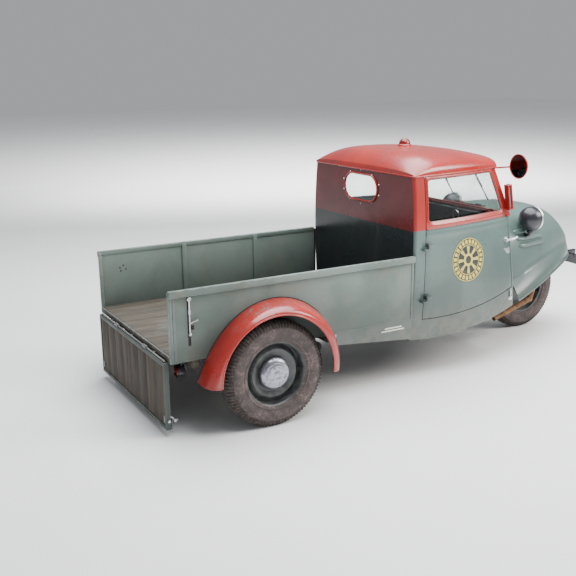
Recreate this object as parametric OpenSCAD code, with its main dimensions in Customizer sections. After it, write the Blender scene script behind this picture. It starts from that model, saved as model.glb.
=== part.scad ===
// Three-wheeled pickup truck with a drop-side load bed and a steel cab.
// Millimetres, +X forward, +Y to the driver's left, +Z up, wheels standing on Z = 0.

/* [Overall] */
// Overall length over the tailgate and the bumper
overall_l = 4040; // [4030:10:4080]
// Distance from the rear axle to the front wheel
wheelbase = 2826; // [2820:2:2832]
// Outer radius of a tyre
tyre_r = 343; // [338:1:346]
// Widest section of a tyre
tyre_w = 145; // [135:1:148]

/* [Load bed] */
// Length of the load bed
bed_l = 1800; // [1795:5:1805]
// Width over the bed sides
bed_w = 1314; // [1306:2:1320]
// Height of the bed's top rail above the ground
bed_top = 927; // [915:1:935]
// Height of the bottom edge of the bed sides
bed_bottom = 478; // [476:1:480]
// Thickness of the tailgate
gate_t = 30; // [28:1:32]
// Width of the tailgate
gate_w = 1240; // [1200:10:1250]

/* [Cab] */
// Length of the cab's lower body
cab_l = 990; // [985:1:995]
// Height of the line between the two body colours
belt_z = 1095; // [1090:1:1100]
// Height of the roof's lower edge
eaves_z = 1462; // [1456:1:1468]
// Height of the roof's crown
crown_z = 1607; // [1590:1:1620]
// Thickness of the body sheet
sheet_t = 3; // [2:0.5:4]

/* [Nose] */
// Length of the hood from the cowl to its tip
hood_l = 1090; // [1085:1:1095]
// Half-width of the hood's lower edge beside the cab
hood_hw = 600; // [590:1:605]
// Height of the hood's top at the cowl
hood_top = 1115; // [1110:1:1120]

/* [Hidden] */
$fn = 48;

// Colours of the finishes
green = [0.55, 0.63, 0.60];
bed_green = [0.47, 0.55, 0.50];
red = [0.80, 0.22, 0.17];
dark = [0.13, 0.14, 0.15];
steel = [0.62, 0.64, 0.66];
glass = [0.75, 0.82, 0.84, 0.5];
rubber = [0.22, 0.19, 0.17];
wood = [0.42, 0.31, 0.22];
leather = [0.16, 0.12, 0.10];
rust = [0.45, 0.30, 0.18];

// Stations along X, counted forward from the rear end of the bed
bed_x = gate_t - overall_l / 2;
bed_front = bed_x + bed_l;
cab_x = bed_x + 1810;
cab_front = cab_x + cab_l;
axle_x = bed_x + 635;
steer_x = axle_x + wheelbase;
hood_x = bed_x + 2860;
nose_x = hood_x + hood_l;

// Small running clearance of a shaft in its bore, and an easy gap between panels
fit = 0.05;
gap = 4;

// ---------- Helpers ----------

function lerp(a, b, t) = a + (b - a) * t;
function steps(a, b, n) = [for (i = [0:n]) lerp(a, b, i / n)];

// A closed sheet between two grids of points of the same size.
// Rows run along the first index. Row direction x column direction faces outward.
module plate(outer, inner) {
  n = len(outer);
  m = len(outer[0]);
  points = [for (row = outer) each row, for (row = inner) each row];
  function a(i, j) = i * m + j;
  function b(i, j) = n * m + i * m + j;
  skin = [for (i = [0:n - 2], j = [0:m - 2]) each [
    [a(i, j), a(i, j + 1), a(i + 1, j + 1)], [a(i, j), a(i + 1, j + 1), a(i + 1, j)],
    [b(i, j), b(i + 1, j + 1), b(i, j + 1)], [b(i, j), b(i + 1, j), b(i + 1, j + 1)]]];
  ends = [for (j = [0:m - 2]) each [
    [a(0, j + 1), a(0, j), b(0, j)], [a(0, j + 1), b(0, j), b(0, j + 1)],
    [a(n - 1, j), a(n - 1, j + 1), b(n - 1, j + 1)], [a(n - 1, j), b(n - 1, j + 1), b(n - 1, j)]]];
  sides = [for (i = [0:n - 2]) each [
    [a(i, 0), a(i + 1, 0), b(i + 1, 0)], [a(i, 0), b(i + 1, 0), b(i, 0)],
    [a(i + 1, m - 1), a(i, m - 1), b(i, m - 1)], [a(i + 1, m - 1), b(i, m - 1), b(i + 1, m - 1)]]];
  polyhedron(points = points, faces = concat(skin, ends, sides), convexity = 6);
}

// A box given by its lowest and highest corners
module block(low, high) {
  translate(low)
    cube([high[0] - low[0], high[1] - low[1], high[2] - low[2]]);
}

// The same shape on the left side and mirrored on the right
module both_sides() {
  children();
  mirror([0, 1, 0]) children();
}

// A shape drawn on the left, put on the right when side is -1
module on_side(side) {
  if (side < 0) mirror([0, 1, 0]) children();
  else children();
}

// A round bar between two points
module bar(p, q, r) {
  d = q - p;
  l = norm(d);
  translate(p)
    rotate([0, acos(d[2] / l), atan2(d[1], d[0])])
      cylinder(r = r, h = l);
}

// A round bar along Y
module bar_y(x, z, y0, y1, r) {
  translate([x, y0, z])
    rotate([-90, 0, 0])
      cylinder(r = r, h = y1 - y0);
}

// Outline of a rectangle with round corners, centred on the origin
function round_rect(w, h, r, n = 6) = [
  for (q = [0:3], i = [0:n])
    let (a = 90 * q + 90 * i / n,
         sx = (q == 0 || q == 3) ? 1 : -1,
         sy = (q < 2) ? 1 : -1)
    [sx * (w / 2 - r) + r * cos(a), sy * (h / 2 - r) + r * sin(a)]];

// ---------- Cab surface ----------

side_bulge = 27;
corner_r = 22;

// Half-width of the cab at its rear wall and at its front corner
function rear_hw(z) = 657 - (z < 1000 ? 0.00009 : 0.00016) * pow(z - 1000, 2);
function front_hw(z) = 612 - 0.1 * (z - 600 + sqrt(pow(z - 600, 2) + 10000));
function side_y(x, z) =
  let (t = (x - cab_x) / cab_l)
  lerp(rear_hw(z), front_hw(z), t) + side_bulge * 4 * t * (1 - t);

// Lower edge of the cab, and lower edge of a door
function sill_z(x) = 300 + 1.95e-4 * pow(x - cab_x - 190, 2);
function door_z(x) = 452 + 2.24e-4 * pow(x - cab_x - 240, 2);

// Windscreen line: X of its outer face at height z
rake = 0.4;
screen_x0 = cab_front + 10;
screen_top = 1470;
function screen_x(z) = screen_x0 - rake * (z - belt_z);
rake_deg = atan(rake);

door_x0 = cab_x + 95;
door_x1 = cab_front - 27;
post_w = 46;

// Plan point of the lower body at parameter u: 0 at the rear wall, 1 at the front centre
function body_xy(u, z, t = 0) =
  let (xe = cab_front - corner_r, us = 0.7, uc = 0.8)
  u < us ? let (x = lerp(cab_x, xe, u / us)) [x, side_y(x, z) - t]
  : u < uc ? let (a = 90 * (u - us) / (uc - us), r = corner_r - t)
      [xe + r * sin(a), side_y(xe, z) - corner_r + r * cos(a)]
  : [cab_front - t, (side_y(xe, z) - corner_r) * (1 - (u - uc) / (1 - uc))];

// One column of the shell from height z0 to z1
function body_column(u, z0, z1, t, n = 8) =
  [for (z = steps(z0, z1, n)) let (p = body_xy(u, z, t)) [p[0], p[1], z]];

function u_of(x) = 0.7 * (x - cab_x) / (cab_l - corner_r);

// ---------- Hood surface ----------

function hood_s(x) = (x - hood_x + 10) / (hood_l + 10);
function hood_low_y(x) = hood_hw * pow(max(0, 1 - pow(hood_s(x), 1.3)), 0.6);
function hood_low_z(x) = 440 + 180 * sin(min(90, 99 * hood_s(x)));
function hood_top_z(x) = 622 + (hood_top - 622) * pow(max(0, 1 - pow(hood_s(x), 4)), 1.05);
band_h = 130;
band_in = 95;

// Section of the hood: k from 0 at the lower edge to 1 at the top centre
function hood_point(x, k, t) =
  let (s = hood_s(x), yl = hood_low_y(x), zl = hood_low_z(x), zt = hood_top_z(x),
       shrink = 1 - 0.8 * s, zc = min(zl + band_h, lerp(zl, zt, 0.55)),
       yc = yl - band_in * shrink * min(1, yl / 150), kb = 0.3)
  k < kb ? let (a = k / kb)
      [x, max(0, lerp(yl, yc, a) + 14 * sin(180 * a) * shrink - t), lerp(zl, zc, a)]
  : let (a = 90 * (k - kb) / (1 - kb), up = pow(max(0, sin(a)), 0.667))
      [x, max(0, (yc - t) * pow(max(0, cos(a)), 0.667) * (1 - 0.12 * up)), lerp(zc, zt - t, up)];

// ---------- Fender surface ----------

fender_y0 = bed_w / 2;
fender_y1 = 862;
fender_r_in = 447;
fender_r_out = 397;

// Point at angle f from the top (rear negative), v from the bed side to the outer lip
function fender_point(f, v, t) =
  let (flare = 85 * pow(max(0, -f / 90), 4),
       r = fender_r_out + (fender_r_in - fender_r_out + flare) * pow(max(0, cos(90 * v)), 0.8) - t,
       cx = lerp(axle_x + 65, axle_x, v),
       y = fender_y0 + (fender_y1 - fender_y0 - t) * sin(90 * v))
  [cx + r * sin(f), y, tyre_r + r * cos(f)];

// ---------- Frame and bed ----------

rail_z0 = 355;
rail_z1 = 425;
rail_y0 = 300;
rail_y1 = 350;
arm_pivot_x = axle_x + 415;
arm_pivot_z = 390;
arm_pivot_r = 20;
head_z0 = 915;
head_z1 = 985;
king_pin_r = 18;

module chassis_frame() {
  cross_x = [bed_x + 60, bed_x + 620, bed_x + 1180, bed_x + 1770, bed_x + 2300, cab_front - 50];
  color(dark) difference() {
    union() {
      both_sides() {
        block([bed_x + 60, rail_y0, rail_z0], [cab_front, rail_y1, rail_z1]);
        block([cab_front - 50, 150, rail_z1 - 35], [hood_x + 30, 190, rail_z1]);
        block([hood_x - 20, 150, rail_z1 - 35], [hood_x + 30, 190, 965]);
        block([hood_x + 25, 150, 930], [steer_x + 60, 190, 965]);
        bar_y(arm_pivot_x, arm_pivot_z, rail_y1 - 5, 612, arm_pivot_r);
      }
      for (x = cross_x)
        block([x, -rail_y0 - 5, rail_z0 + 10], [x + 50, rail_y0 + 5, rail_z1 - 5]);
      block([steer_x - 30, -155, 930], [steer_x + 30, 155, 965]);
      translate([steer_x, 0, head_z0]) cylinder(r = 45, h = head_z1 - head_z0);
    }
    translate([steer_x, 0, head_z0 - 1]) cylinder(r = king_pin_r + fit, h = head_z1 - head_z0 + 2);
  }
}

floor_z = 520;
hinge_x = bed_x - gate_t / 2;
hinge_z = 486;
gate_pin_r = 5;

post_in = 16;

module bed_floor() {
  bearer_hw = bed_w / 2 - sheet_t;
  board_hw = bed_w / 2 - post_in - 1;
  bearer_xs = [bed_x + 140, bed_x + 560, bed_x + 1100, bed_x + 1520];
  color(bed_green) union() {
    block([bed_x + 1, -board_hw, 500], [bed_front, board_hw, floor_z]);
    for (x = bearer_xs)
      block([x, -bearer_hw, rail_z1], [x + 50, bearer_hw, 505]);
    block([bed_x + 1, -board_hw, bed_bottom], [bed_x + 12, board_hw, 505]);
    for (y = [-400, 0, 400])
      block([hinge_x - 4, y - 16, hinge_z - 6], [bed_x + 5, y + 16, hinge_z + 6]);
    bar_y(hinge_x, hinge_z, -600, 600, gate_pin_r);
  }
}

latch_x = bed_x + 130;
latch_z = 867;
latch_pin_r = 7;
rail_h = 42;

module bed_side(side) {
  y = bed_w / 2;
  color(bed_green) on_side(side) union() {
    block([bed_x, y - sheet_t, bed_bottom], [bed_front, y, bed_top - 10]);
    block([bed_x, y - 8, bed_top - rail_h], [bed_front, y + 20, bed_top]);
    block([bed_x, y - post_in, bed_bottom], [bed_x + 26, y + 3, bed_top - 10]);
    for (x = [bed_x + 640, bed_x + 1240])
      block([x, y - 12, floor_z], [x + 36, y - sheet_t + 1, bed_top - 10]);
    bar_y(latch_x, latch_z, y - 2, y + 16, latch_pin_r);
  }
}

module side_skirts() {
  x0 = bed_x + 1174;
  x1 = bed_front - 5;
  color(green * 0.8) both_sides()
    translate([0, bed_w / 2, 0])
      rotate([90, 0, 0])
        linear_extrude(sheet_t)
          polygon([[x0, 396], [x1, 335], [x1, bed_bottom], [x0, bed_bottom]]);
}

module rear_fender(side) {
  function grid(t) = [for (f = steps(-90, 96, 30)) [for (v = steps(0, 1, 8)) fender_point(f, v, t)]];
  color(red) on_side(side) plate(grid(0), grid(sheet_t));
}

module tail_lamps() {
  color(dark) both_sides() union() {
    translate([bed_x + 70, 562, 395]) rotate([0, 90, 0]) cylinder(r = 38, h = 55);
    translate([bed_x + 58, 562, 395]) rotate([0, 90, 0]) cylinder(r = 33, h = 14);
    block([bed_x + 95, 545, 400], [bed_x + 103, 579, 500]);
  }
}

// ---------- Cab ----------

hinge_y = 680;
hinge_line_x = door_x0 - 3;
hinge_zs = [617, 987];
door_pin_r = 4;
hood_hinge_x = hood_x - 10;
hood_hinge_z = hood_top + 6;
hood_pin_r = 5;

// Upper edge of the lower body at parameter u, just below the windscreen frame
function cowl_z(u) = belt_z - 1 - rake * (screen_x0 - body_xy(u, belt_z, sheet_t)[0]);

module cab_shell() {
  front_z = max(sill_z(cab_front - 20), rail_z1 + 2);
  post_xs = [cab_x, cab_x + 45, door_x0 - gap - 3];
  sill_xs = steps(door_x0 - gap, door_x1 + gap - 2, 12);
  corner_us = concat([u_of(door_x1 + gap - 1)], steps(0.7, 0.8, 4), steps(0.84, 1, 4));
  function half(t) = concat(
    [for (x = post_xs) body_column(u_of(x), sill_z(x), eaves_z, t)],
    [for (x = sill_xs) body_column(u_of(x), sill_z(x), door_z(x) - gap, t)],
    [for (u = corner_us) body_column(u, front_z, cowl_z(u), t)]);
  function flip(column) = [for (p = column) [p[0], -p[1], p[2]]];
  function whole(t) = let (h = half(t), n = len(h))
    concat([for (c = h) flip(c)], [for (i = [n - 2:-1:0]) h[i]]);
  color(green) union() {
    plate(whole(0), whole(sheet_t));
    both_sides() {
      for (z = hinge_zs) {
        block([hinge_line_x - 34, side_y(door_x0, z) - 4, z - 32],
              [hinge_line_x + 2, hinge_y + 6, z - 18]);
        translate([hinge_line_x, hinge_y, z - 24]) cylinder(r = door_pin_r, h = 42);
      }
      block([cab_front - 2, 90, 1072], [hood_hinge_x + 8, 98, 1090]);
      block([hood_hinge_x - 8, 90, 1080], [hood_hinge_x + 8, 98, hood_hinge_z + 8]);
      bar_y(hood_hinge_x, hood_hinge_z, 92, 156, hood_pin_r);
    }
  }
}

// Roof: height above the eaves and half-width along X
roof_x1 = cab_front - 115;
function roof_h(x) =
  let (s = (x - cab_x + 10) / 900, top = crown_z - eaves_z - 25)
  25 + top * (s < 0.4 ? 1 - pow(1 - s / 0.4, 4) : 1 - 0.55 * pow((s - 0.4) / 0.6, 2));
function roof_point(x, a, t) =
  let (w = side_y(x, eaves_z) + 2 - t)
  [x, w * sign(a) * pow(abs(sin(a)), 0.75), eaves_z + (roof_h(x) - t) * pow(cos(a), 0.75)];

module cab_roof() {
  angles = steps(-90, 90, 24);
  function row(x, t) = [for (a = angles) roof_point(x, a, t)];
  function drop(points, x, z) = [for (p = points) [x, p[1], z]];
  function grid(t) = let (x0 = cab_x - sheet_t + t, x1 = roof_x1 - t) concat(
    [drop(row(x0, t), x0, eaves_z)],
    [for (x = concat(steps(x0, cab_x + 90, 4), steps(cab_x + 150, x1, 9))) row(x, t)],
    [drop(row(x1, t), x1, eaves_z + 8)]);
  color(red) plate(grid(0), grid(sheet_t));
}

window_z = 1326;
window_w = 400;
window_h = 180;

module window_slot(r, x0, x1) {
  hull_y = window_w / 2 - window_h / 2;
  for (y = [-hull_y, hull_y])
    translate([x0, y, window_z]) rotate([0, 90, 0]) cylinder(r = r, h = x1 - x0);
  block([x0, -hull_y, window_z - r], [x1, hull_y, window_z + r]);
}

module cab_back_wall() {
  zs = steps(bed_bottom, eaves_z, 16);
  outline = concat([for (z = zs) [rear_hw(z), z]], [for (i = [len(zs) - 1:-1:0]) [-rear_hw(zs[i]), zs[i]]]);
  color(dark) difference() {
    translate([cab_x - sheet_t, 0, 0])
      rotate([90, 0, 90])
        linear_extrude(sheet_t)
          polygon(outline);
    window_slot(window_h / 2, cab_x - 10, cab_x + 5);
  }
}

module rear_window_frame() {
  color(steel) difference() {
    window_slot(window_h / 2 + 16, cab_x - sheet_t - 5, cab_x - sheet_t);
    window_slot(window_h / 2 - 8, cab_x - sheet_t - 8, cab_x);
    for (i = [0:11])
      translate([cab_x - sheet_t - 8, 185 * cos(30 * i), window_z + 95 * sin(30 * i)])
        rotate([0, 90, 0]) cylinder(r = 2.5, h = 1);
  }
}

module rear_window_glass() {
  color(glass) window_slot(window_h / 2 - 1, cab_x - sheet_t, cab_x);
}

floor_hw = 603;
cab_floor_z = rail_z1 + 4;
seat_z = 700;
gear_x = bed_x + 2600;
gear_z = 456;

module cab_floor() {
  color(dark) union() {
    block([cab_x, -floor_hw, rail_z1], [cab_front - corner_r - sheet_t, floor_hw, cab_floor_z]);
    difference() {
      block([cab_x + 5, -560, cab_floor_z - 2], [cab_x + 450, 560, seat_z]);
      block([cab_x, -556, cab_floor_z], [cab_x + 446, 556, seat_z - 4]);
    }
    both_sides() block([gear_x - 12, 14, cab_floor_z - 2], [gear_x + 12, 20, gear_z + 12]);
    bar_y(gear_x, gear_z, -18, 18, 5);
  }
}

// Puts a flat outline in the windscreen's plane: x across, y up the slope, outward from low to high
module in_screen(low, high) {
  translate([screen_x0, 0, belt_z])
    rotate([0, 90 - rake_deg, 0])
      rotate([0, 0, 90])
        translate([0, 0, low])
          linear_extrude(high - low)
            children();
}

screen_l = (screen_top - belt_z) / cos(rake_deg);
screen_hw0 = 514;
screen_hw1 = 474;
wiper_y = 200;
wiper_v = screen_l - 14;

module screen_outline(in) {
  hull()
    for (s = [-1, 1]) {
      translate([s * (screen_hw0 - in - 34), in + 30]) circle(r = 30);
      translate([s * (screen_hw1 - in - 34), screen_l - in - 32]) circle(r = 30);
    }
}

module windscreen_frame() {
  color(red) union() {
    in_screen(-36, 0)
      difference() {
        polygon([[-screen_hw0, 0], [screen_hw0, 0], [screen_hw1, screen_l], [-screen_hw1, screen_l]]);
        screen_outline(26);
      }
    for (s = [-1, 1])
      in_screen(-2, 16) translate([s * wiper_y, wiper_v]) circle(r = 4);
  }
}

module windscreen_glass() {
  color(glass) in_screen(-21, -16) screen_outline(26);
}

// ---------- Doors ----------

door_top = eaves_z - gap;
function door_front_x(z) = min(door_x1, screen_x(z) - post_w);

// A point of the door skin: a from rear to front, b from the lower edge to the top
function door_point(a, b, t) =
  let (z = lerp(door_z(lerp(door_x0, door_x1, a)), door_top, b),
       x = lerp(door_x0, door_front_x(z), a))
  [x, side_y(x, z) - t, z];

pane_z0 = 1148;
pane_z1 = 1430;

module pane_outline(grow) {
  r = 20 + grow;
  front = post_w + 30 - grow;
  hull() {
    translate([door_x0 + 30 - grow + r, pane_z0 - grow + r]) circle(r = r);
    translate([screen_x(pane_z0) - front - r, pane_z0 - grow + r]) circle(r = r);
    translate([screen_x(pane_z1) - front - r, pane_z1 + grow - r]) circle(r = r);
    translate([door_x0 + 30 - grow + r, pane_z1 + grow - r]) circle(r = r);
  }
}

module door(side) {
  function grid(t) = [for (a = steps(1, 0, 14)) [for (b = steps(0, 1, 12)) door_point(a, b, t)]];
  color(green) on_side(side) union() {
    difference() {
      plate(grid(0), grid(sheet_t));
      translate([0, 800, 0]) rotate([90, 0, 0]) linear_extrude(500) pane_outline(0);
    }
    for (z = hinge_zs)
      difference() {
        union() {
          translate([hinge_line_x, hinge_y, z - 14]) cylinder(r = 9, h = 28);
          block([hinge_line_x + 5, side_y(door_x0, z) - 2, z - 14], [hinge_line_x + 44, hinge_y + 2, z + 14]);
        }
        translate([hinge_line_x, hinge_y, z - 15]) cylinder(r = door_pin_r + fit, h = 30);
      }
    bar_y(handle_x, handle_z, side_y(handle_x, handle_z) - 2, handle_y0 + 22, 6);
  }
}

handle_x = door_x1 - 42;
handle_z = 925;
handle_y0 = side_y(handle_x, handle_z);

glass_lean = 0.06;
module door_glass(side) {
  function y(x, z) = side_y(x, pane_z1) - 10 + glass_lean * (pane_z1 - z);
  function front(z) = screen_x(z) - post_w - 18;
  function grid(t) = [for (a = steps(1, 0, 12)) [for (z = steps(pane_z0 - 10, pane_z1 + 10, 2))
    let (x = lerp(door_x0 + 18, front(z), a)) [x, y(x, z) - t, z]]];
  color(glass) on_side(side) plate(grid(0), grid(5));
}

module door_handle(side) {
  color(steel) on_side(side) difference() {
    union() {
      bar_y(handle_x, handle_z, handle_y0 + 5, handle_y0 + 26, 12);
      bar([handle_x, handle_y0 + 20, handle_z], [handle_x + 92, handle_y0 + 24, handle_z + 12], 7);
      translate([handle_x + 92, handle_y0 + 24, handle_z + 12]) sphere(r = 9);
    }
    bar_y(handle_x, handle_z, handle_y0, handle_y0 + 22.5, 6 + fit);
  }
}

// ---------- Nose ----------

module hood_shell() {
  xs = concat(steps(hood_x, hood_x + 0.6 * hood_l, 7), steps(hood_x + 0.68 * hood_l, nose_x - 40, 4),
              [nose_x - 20, nose_x - 6]);
  ks = concat(steps(0, 0.3, 4), steps(0.36, 1, 10));
  function ring(x, t) = concat(
    [for (k = ks) let (p = hood_point(x, k, t)) [p[0], -p[1], p[2]]],
    [for (i = [len(ks) - 2:-1:0]) hood_point(x, ks[i], t)]);
  color(green) union() {
    plate([for (x = xs) ring(x, 0)], [for (x = xs) ring(x, sheet_t)]);
    both_sides() difference() {
      union() {
        bar_y(hood_hinge_x, hood_hinge_z, 101, 154, 9);
        block([hood_hinge_x, 101, hood_hinge_z - 9], [hood_hinge_x + 50, 154, hood_hinge_z - 2]);
      }
      bar_y(hood_hinge_x, hood_hinge_z, 100, 155, hood_pin_r + fit);
    }
  }
}

lamp = [bed_x + 3085, 455, 1035];
lamp_r = 92;

module headlamps() {
  profile = concat([[0, -95]], [for (a = steps(10, 90, 8)) [lamp_r * sin(a), -95 * cos(a)]],
                   [[lamp_r, 34], [lamp_r - 10, 44], [lamp_r - 30, 52], [0, 62]]);
  color(dark) both_sides() union() {
    translate(lamp) rotate([0, 90, 0]) rotate_extrude() polygon(profile);
    bar(lamp - [0, 0, 90], lamp - [10, 0, 128], 12);
    bar(lamp - [10, 0, 128], [lamp[0] - 10, 395, lamp[2] - 130], 11);
  }
}

module front_bumper() {
  bend_r = 900;
  half_angle = 21;
  color(dark) union() {
    translate([overall_l / 2 - bend_r, 0, 500])
      rotate([0, 0, -half_angle])
        rotate_extrude(angle = 2 * half_angle, $fn = 360)
          translate([bend_r - 8, 0]) square([8, 90]);
    both_sides() block([nose_x - 75, 88, 592], [overall_l / 2 - 6, 112, 630]);
    both_sides() block([overall_l / 2 - 20, 88, 560], [overall_l / 2 - 7, 112, 600]);
  }
}

// ---------- Steered unit ----------

axle_r = 12;

module fork() {
  color(dark) union() {
    both_sides() block([steer_x - 35, 95, tyre_r - 30], [steer_x + 35, 115, 702]);
    block([steer_x - 115, -104, 700], [steer_x + 110, 104, 722]);
    block([steer_x - 115, -60, 720], [steer_x - 85, 60, 905]);
    block([steer_x - 115, -60, 893], [steer_x + 40, 60, 905]);
    bar_y(steer_x, tyre_r, -97, 97, axle_r);
    translate([steer_x, 0, 904]) cylinder(r = 40, h = 8);
    translate([steer_x, 0, 904]) cylinder(r = king_pin_r, h = 100);
    translate([steer_x, 0, head_z1 + 2]) cylinder(r = 28, h = 14);
  }
}

module engine() {
  fins = [for (i = [0:5]) 800 + 14 * i];
  color(steel) union() {
    block([steer_x - 80, -110, 722], [steer_x + 120, 120, 800]);
    for (y = [-55, 55]) {
      translate([steer_x + 20, y, 795]) cylinder(r = 42, h = 90);
      for (z = fins)
        translate([steer_x + 20, y, z]) cylinder(r = 54, h = 5);
    }
    block([steer_x - 45, 118, tyre_r], [steer_x + 45, 140, 780]);
    bar_y(steer_x, tyre_r, 118, 140, 60);
    bar_y(steer_x + 20, 765, -160, -105, 60);
  }
}

module exhaust_pipe() {
  p = [[steer_x - 55, -134, 770], [steer_x - 60, -225, 640], [steer_x - 70, -240, 420],
       [steer_x - 121, -250, 306], [steer_x - 511, -250, 198]];
  dir = (p[4] - p[3]) / norm(p[4] - p[3]);
  color(rust) difference() {
    union() {
      for (i = [0:3])
        bar(p[i], p[i + 1], 22);
      for (i = [1:3])
        translate(p[i]) sphere(r = 24);
    }
    bar(p[4] - 120 * dir, p[4] + 5 * dir, 18);
  }
}

// ---------- Wheels ----------

bead_r = 203;

// A wheel part drawn around the Z axis, turned so that its outer face looks towards +Y
module as_wheel(x, y) {
  translate([x, y, tyre_r]) rotate([-90, 0, 0]) children();
}

module tyre_ring() {
  w = tyre_w / 2;
  outer = [[bead_r, w - 20], [bead_r + 25, w - 8], [bead_r + 65, w], [tyre_r - 30, w - 10],
           [tyre_r - 8, w - 20], [tyre_r, w - 38]];
  inner = [[tyre_r - 16, w - 40], [tyre_r - 34, w - 22], [bead_r + 65, w - 12], [bead_r + 16, w - 26],
           [bead_r, w - 32]];
  color(rubber) rotate_extrude($fn = 96)
    polygon(concat(
      outer, [for (i = [5:-1:0]) [outer[i][0], -outer[i][1]]],
      [for (i = [4:-1:0]) [inner[i][0], -inner[i][1]]], inner));
}

module rim(bore, hub_r, hub_in) {
  w = tyre_w / 2 - 20;
  seat = bead_r - 3;
  color(dark) rotate_extrude($fn = 96)
    polygon([[bore, -hub_in], [hub_r, -hub_in], [hub_r, 8], [120, 8], [150, 22], [165, 2], [180, -14],
             [seat - 3, -14], [seat - 3, -w - 3], [bead_r + 14, -w - 3], [bead_r + 14, -w],
             [bead_r, -w], [bead_r, w], [bead_r + 14, w], [bead_r + 14, w + 3], [seat - 3, w + 3],
             [seat - 3, -8], [182, -8], [168, 8], [152, 28], [118, 14], [hub_r, 14], [hub_r, 26], [bore, 26]]);
}

wheel_y = 752;
stub_r = 25;

module front_tyre() { as_wheel(steer_x, 0) tyre_ring(); }
module front_rim() { as_wheel(steer_x, 0) rim(axle_r + fit, 38, 58); }
module rear_tyre(side) { on_side(side) as_wheel(axle_x, wheel_y) tyre_ring(); }
module rear_rim(side) { on_side(side) as_wheel(axle_x, wheel_y) rim(stub_r + fit, 45, 50); }

module hubcap(side) {
  dome = [for (a = steps(0, 78, 10)) [108 * sin(a), 34 + 34 * cos(a)]];
  color(steel) on_side(side) as_wheel(axle_x, wheel_y)
    rotate_extrude($fn = 72)
      polygon(concat(dome, [[107, 28.5], [104, 28.5]], [for (i = [9:-1:0]) dome[i] - [dome[i][0] > 2 ? 2 : 0, 3]]));
}

arm_l = norm([arm_pivot_x - axle_x, arm_pivot_z - tyre_r]);
arm_tilt = atan2(arm_pivot_z - tyre_r, arm_pivot_x - axle_x);

module rear_arm(side) {
  color(dark) on_side(side) difference() {
    union() {
      bar_y(arm_pivot_x, arm_pivot_z, 560, 608, 36);
      translate([axle_x, 0, tyre_r])
        rotate([0, -arm_tilt, 0])
          block([10, 566, -20], [arm_l - 28, 602, 20]);
      bar_y(axle_x, tyre_r, 562, 606, 40);
      bar_y(axle_x, tyre_r, 604, wheel_y + 25, stub_r);
    }
    bar_y(arm_pivot_x, arm_pivot_z, 559, 609, arm_pivot_r + fit);
  }
}

// ---------- Controls ----------

wheel_c = [bed_x + 2420, 270, 1020];
column_end = [bed_x + 2740, 270, 450];
column_l = norm(column_end - wheel_c);
column_tilt = atan2(column_end[0] - wheel_c[0], wheel_c[2] - column_end[2]);
pedal_x = bed_x + 2750;
pedal_z = 800;

// Local frame with +Z up the steering column and its origin at the steering wheel's centre
module on_column() {
  translate(wheel_c) rotate([0, -column_tilt, 0]) children();
}

module steering_column() {
  color(dark) union() {
    difference() {
      on_column() translate([0, 0, -column_l]) cylinder(r = 22, h = column_l - 40);
      on_column() translate([0, 0, -605]) cylinder(r = 10 + fit, h = 600);
    }
    block([column_end[0] - 45, 235, cab_floor_z], [column_end[0] + 40, 305, 470]);
    for (y = [64, 412])
      block([pedal_x - 9, y, pedal_z - 9], [cab_front - sheet_t, y + 8, pedal_z + 9]);
    bar_y(pedal_x, pedal_z, 66, 418, 6);
  }
}

module steering_wheel() {
  wheel_r = 200;
  color(dark) on_column() union() {
    rotate_extrude($fn = 96) translate([wheel_r, 0]) circle(r = 11, $fn = 24);
    for (a = [90, 210, 330])
      rotate([0, 0, a]) bar([15, 0, -8], [wheel_r - 4, 0, 0], 7);
    translate([0, 0, -28]) cylinder(r = 30, h = 38);
    translate([0, 0, -600]) cylinder(r = 10, h = 590);
  }
}

module pedal(y, pad_w) {
  color(dark) difference() {
    union() {
      bar_y(pedal_x, pedal_z, y - 11, y + 11, 13);
      bar([pedal_x - 3, y, pedal_z - 8], [pedal_x - 62, y, 570], 6);
      block([pedal_x - 70, y - pad_w / 2, 535], [pedal_x - 60, y + pad_w / 2, 600]);
    }
    bar_y(pedal_x, pedal_z, y - 12, y + 12, 6 + fit);
  }
}

module gear_lever() {
  color(dark) difference() {
    union() {
      bar_y(gear_x, gear_z, -11, 11, 13);
      bar([gear_x - 1, 0, gear_z + 8], [gear_x - 70, 0, 880], 7);
      translate([gear_x - 70, 0, 890]) sphere(r = 24);
    }
    bar_y(gear_x, gear_z, -12, 12, 5 + fit);
  }
}

module seat_cushion() {
  color(leather)
    translate([cab_x + 245, 0, seat_z + 1])
      linear_extrude(105)
        polygon(round_rect(420, 1060, 40));
}

module seat_backrest() {
  color(leather)
    translate([cab_x + 30, 0, 1005])
      rotate([90, 0, 90])
        linear_extrude(80)
          polygon(round_rect(1060, 380, 50));
}

// ---------- Small outside parts ----------

module roof_lamp() {
  color(red) translate([bed_x + 2200, 0, crown_z + 0.3])
    rotate_extrude()
      polygon(concat([[0, 0], [50, 0], [50, 10]], [for (a = steps(0, 90, 8)) [43 * cos(a), 14 + 42 * sin(a)]]));
}

traf_z = 1142;
traf_l = 190;
traf_rake = 10;
traf_pivot = traf_l - 22;

module at_trafficator() {
  translate([screen_x(traf_z) - 34, screen_hw0 + 4, traf_z])
    rotate([0, -traf_rake, 0])
      children();
}

module trafficator_housings() {
  color(red) both_sides() at_trafficator() union() {
    difference() {
      block([0, 0, 0], [40, 44, traf_l]);
      block([11, 7, 8], [29, 50, traf_l - 6]);
    }
    translate([5, 26, traf_pivot]) rotate([0, 90, 0]) cylinder(r = 3, h = 30);
  }
  color(red) both_sides() difference() {
    at_trafficator() block([4, -30, 2], [36, 0, 26]);
    in_screen(-80, 40)
      polygon([[-screen_hw0, 0], [screen_hw0, 0], [screen_hw1, screen_l], [-screen_hw1, screen_l]]);
  }
}

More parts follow.
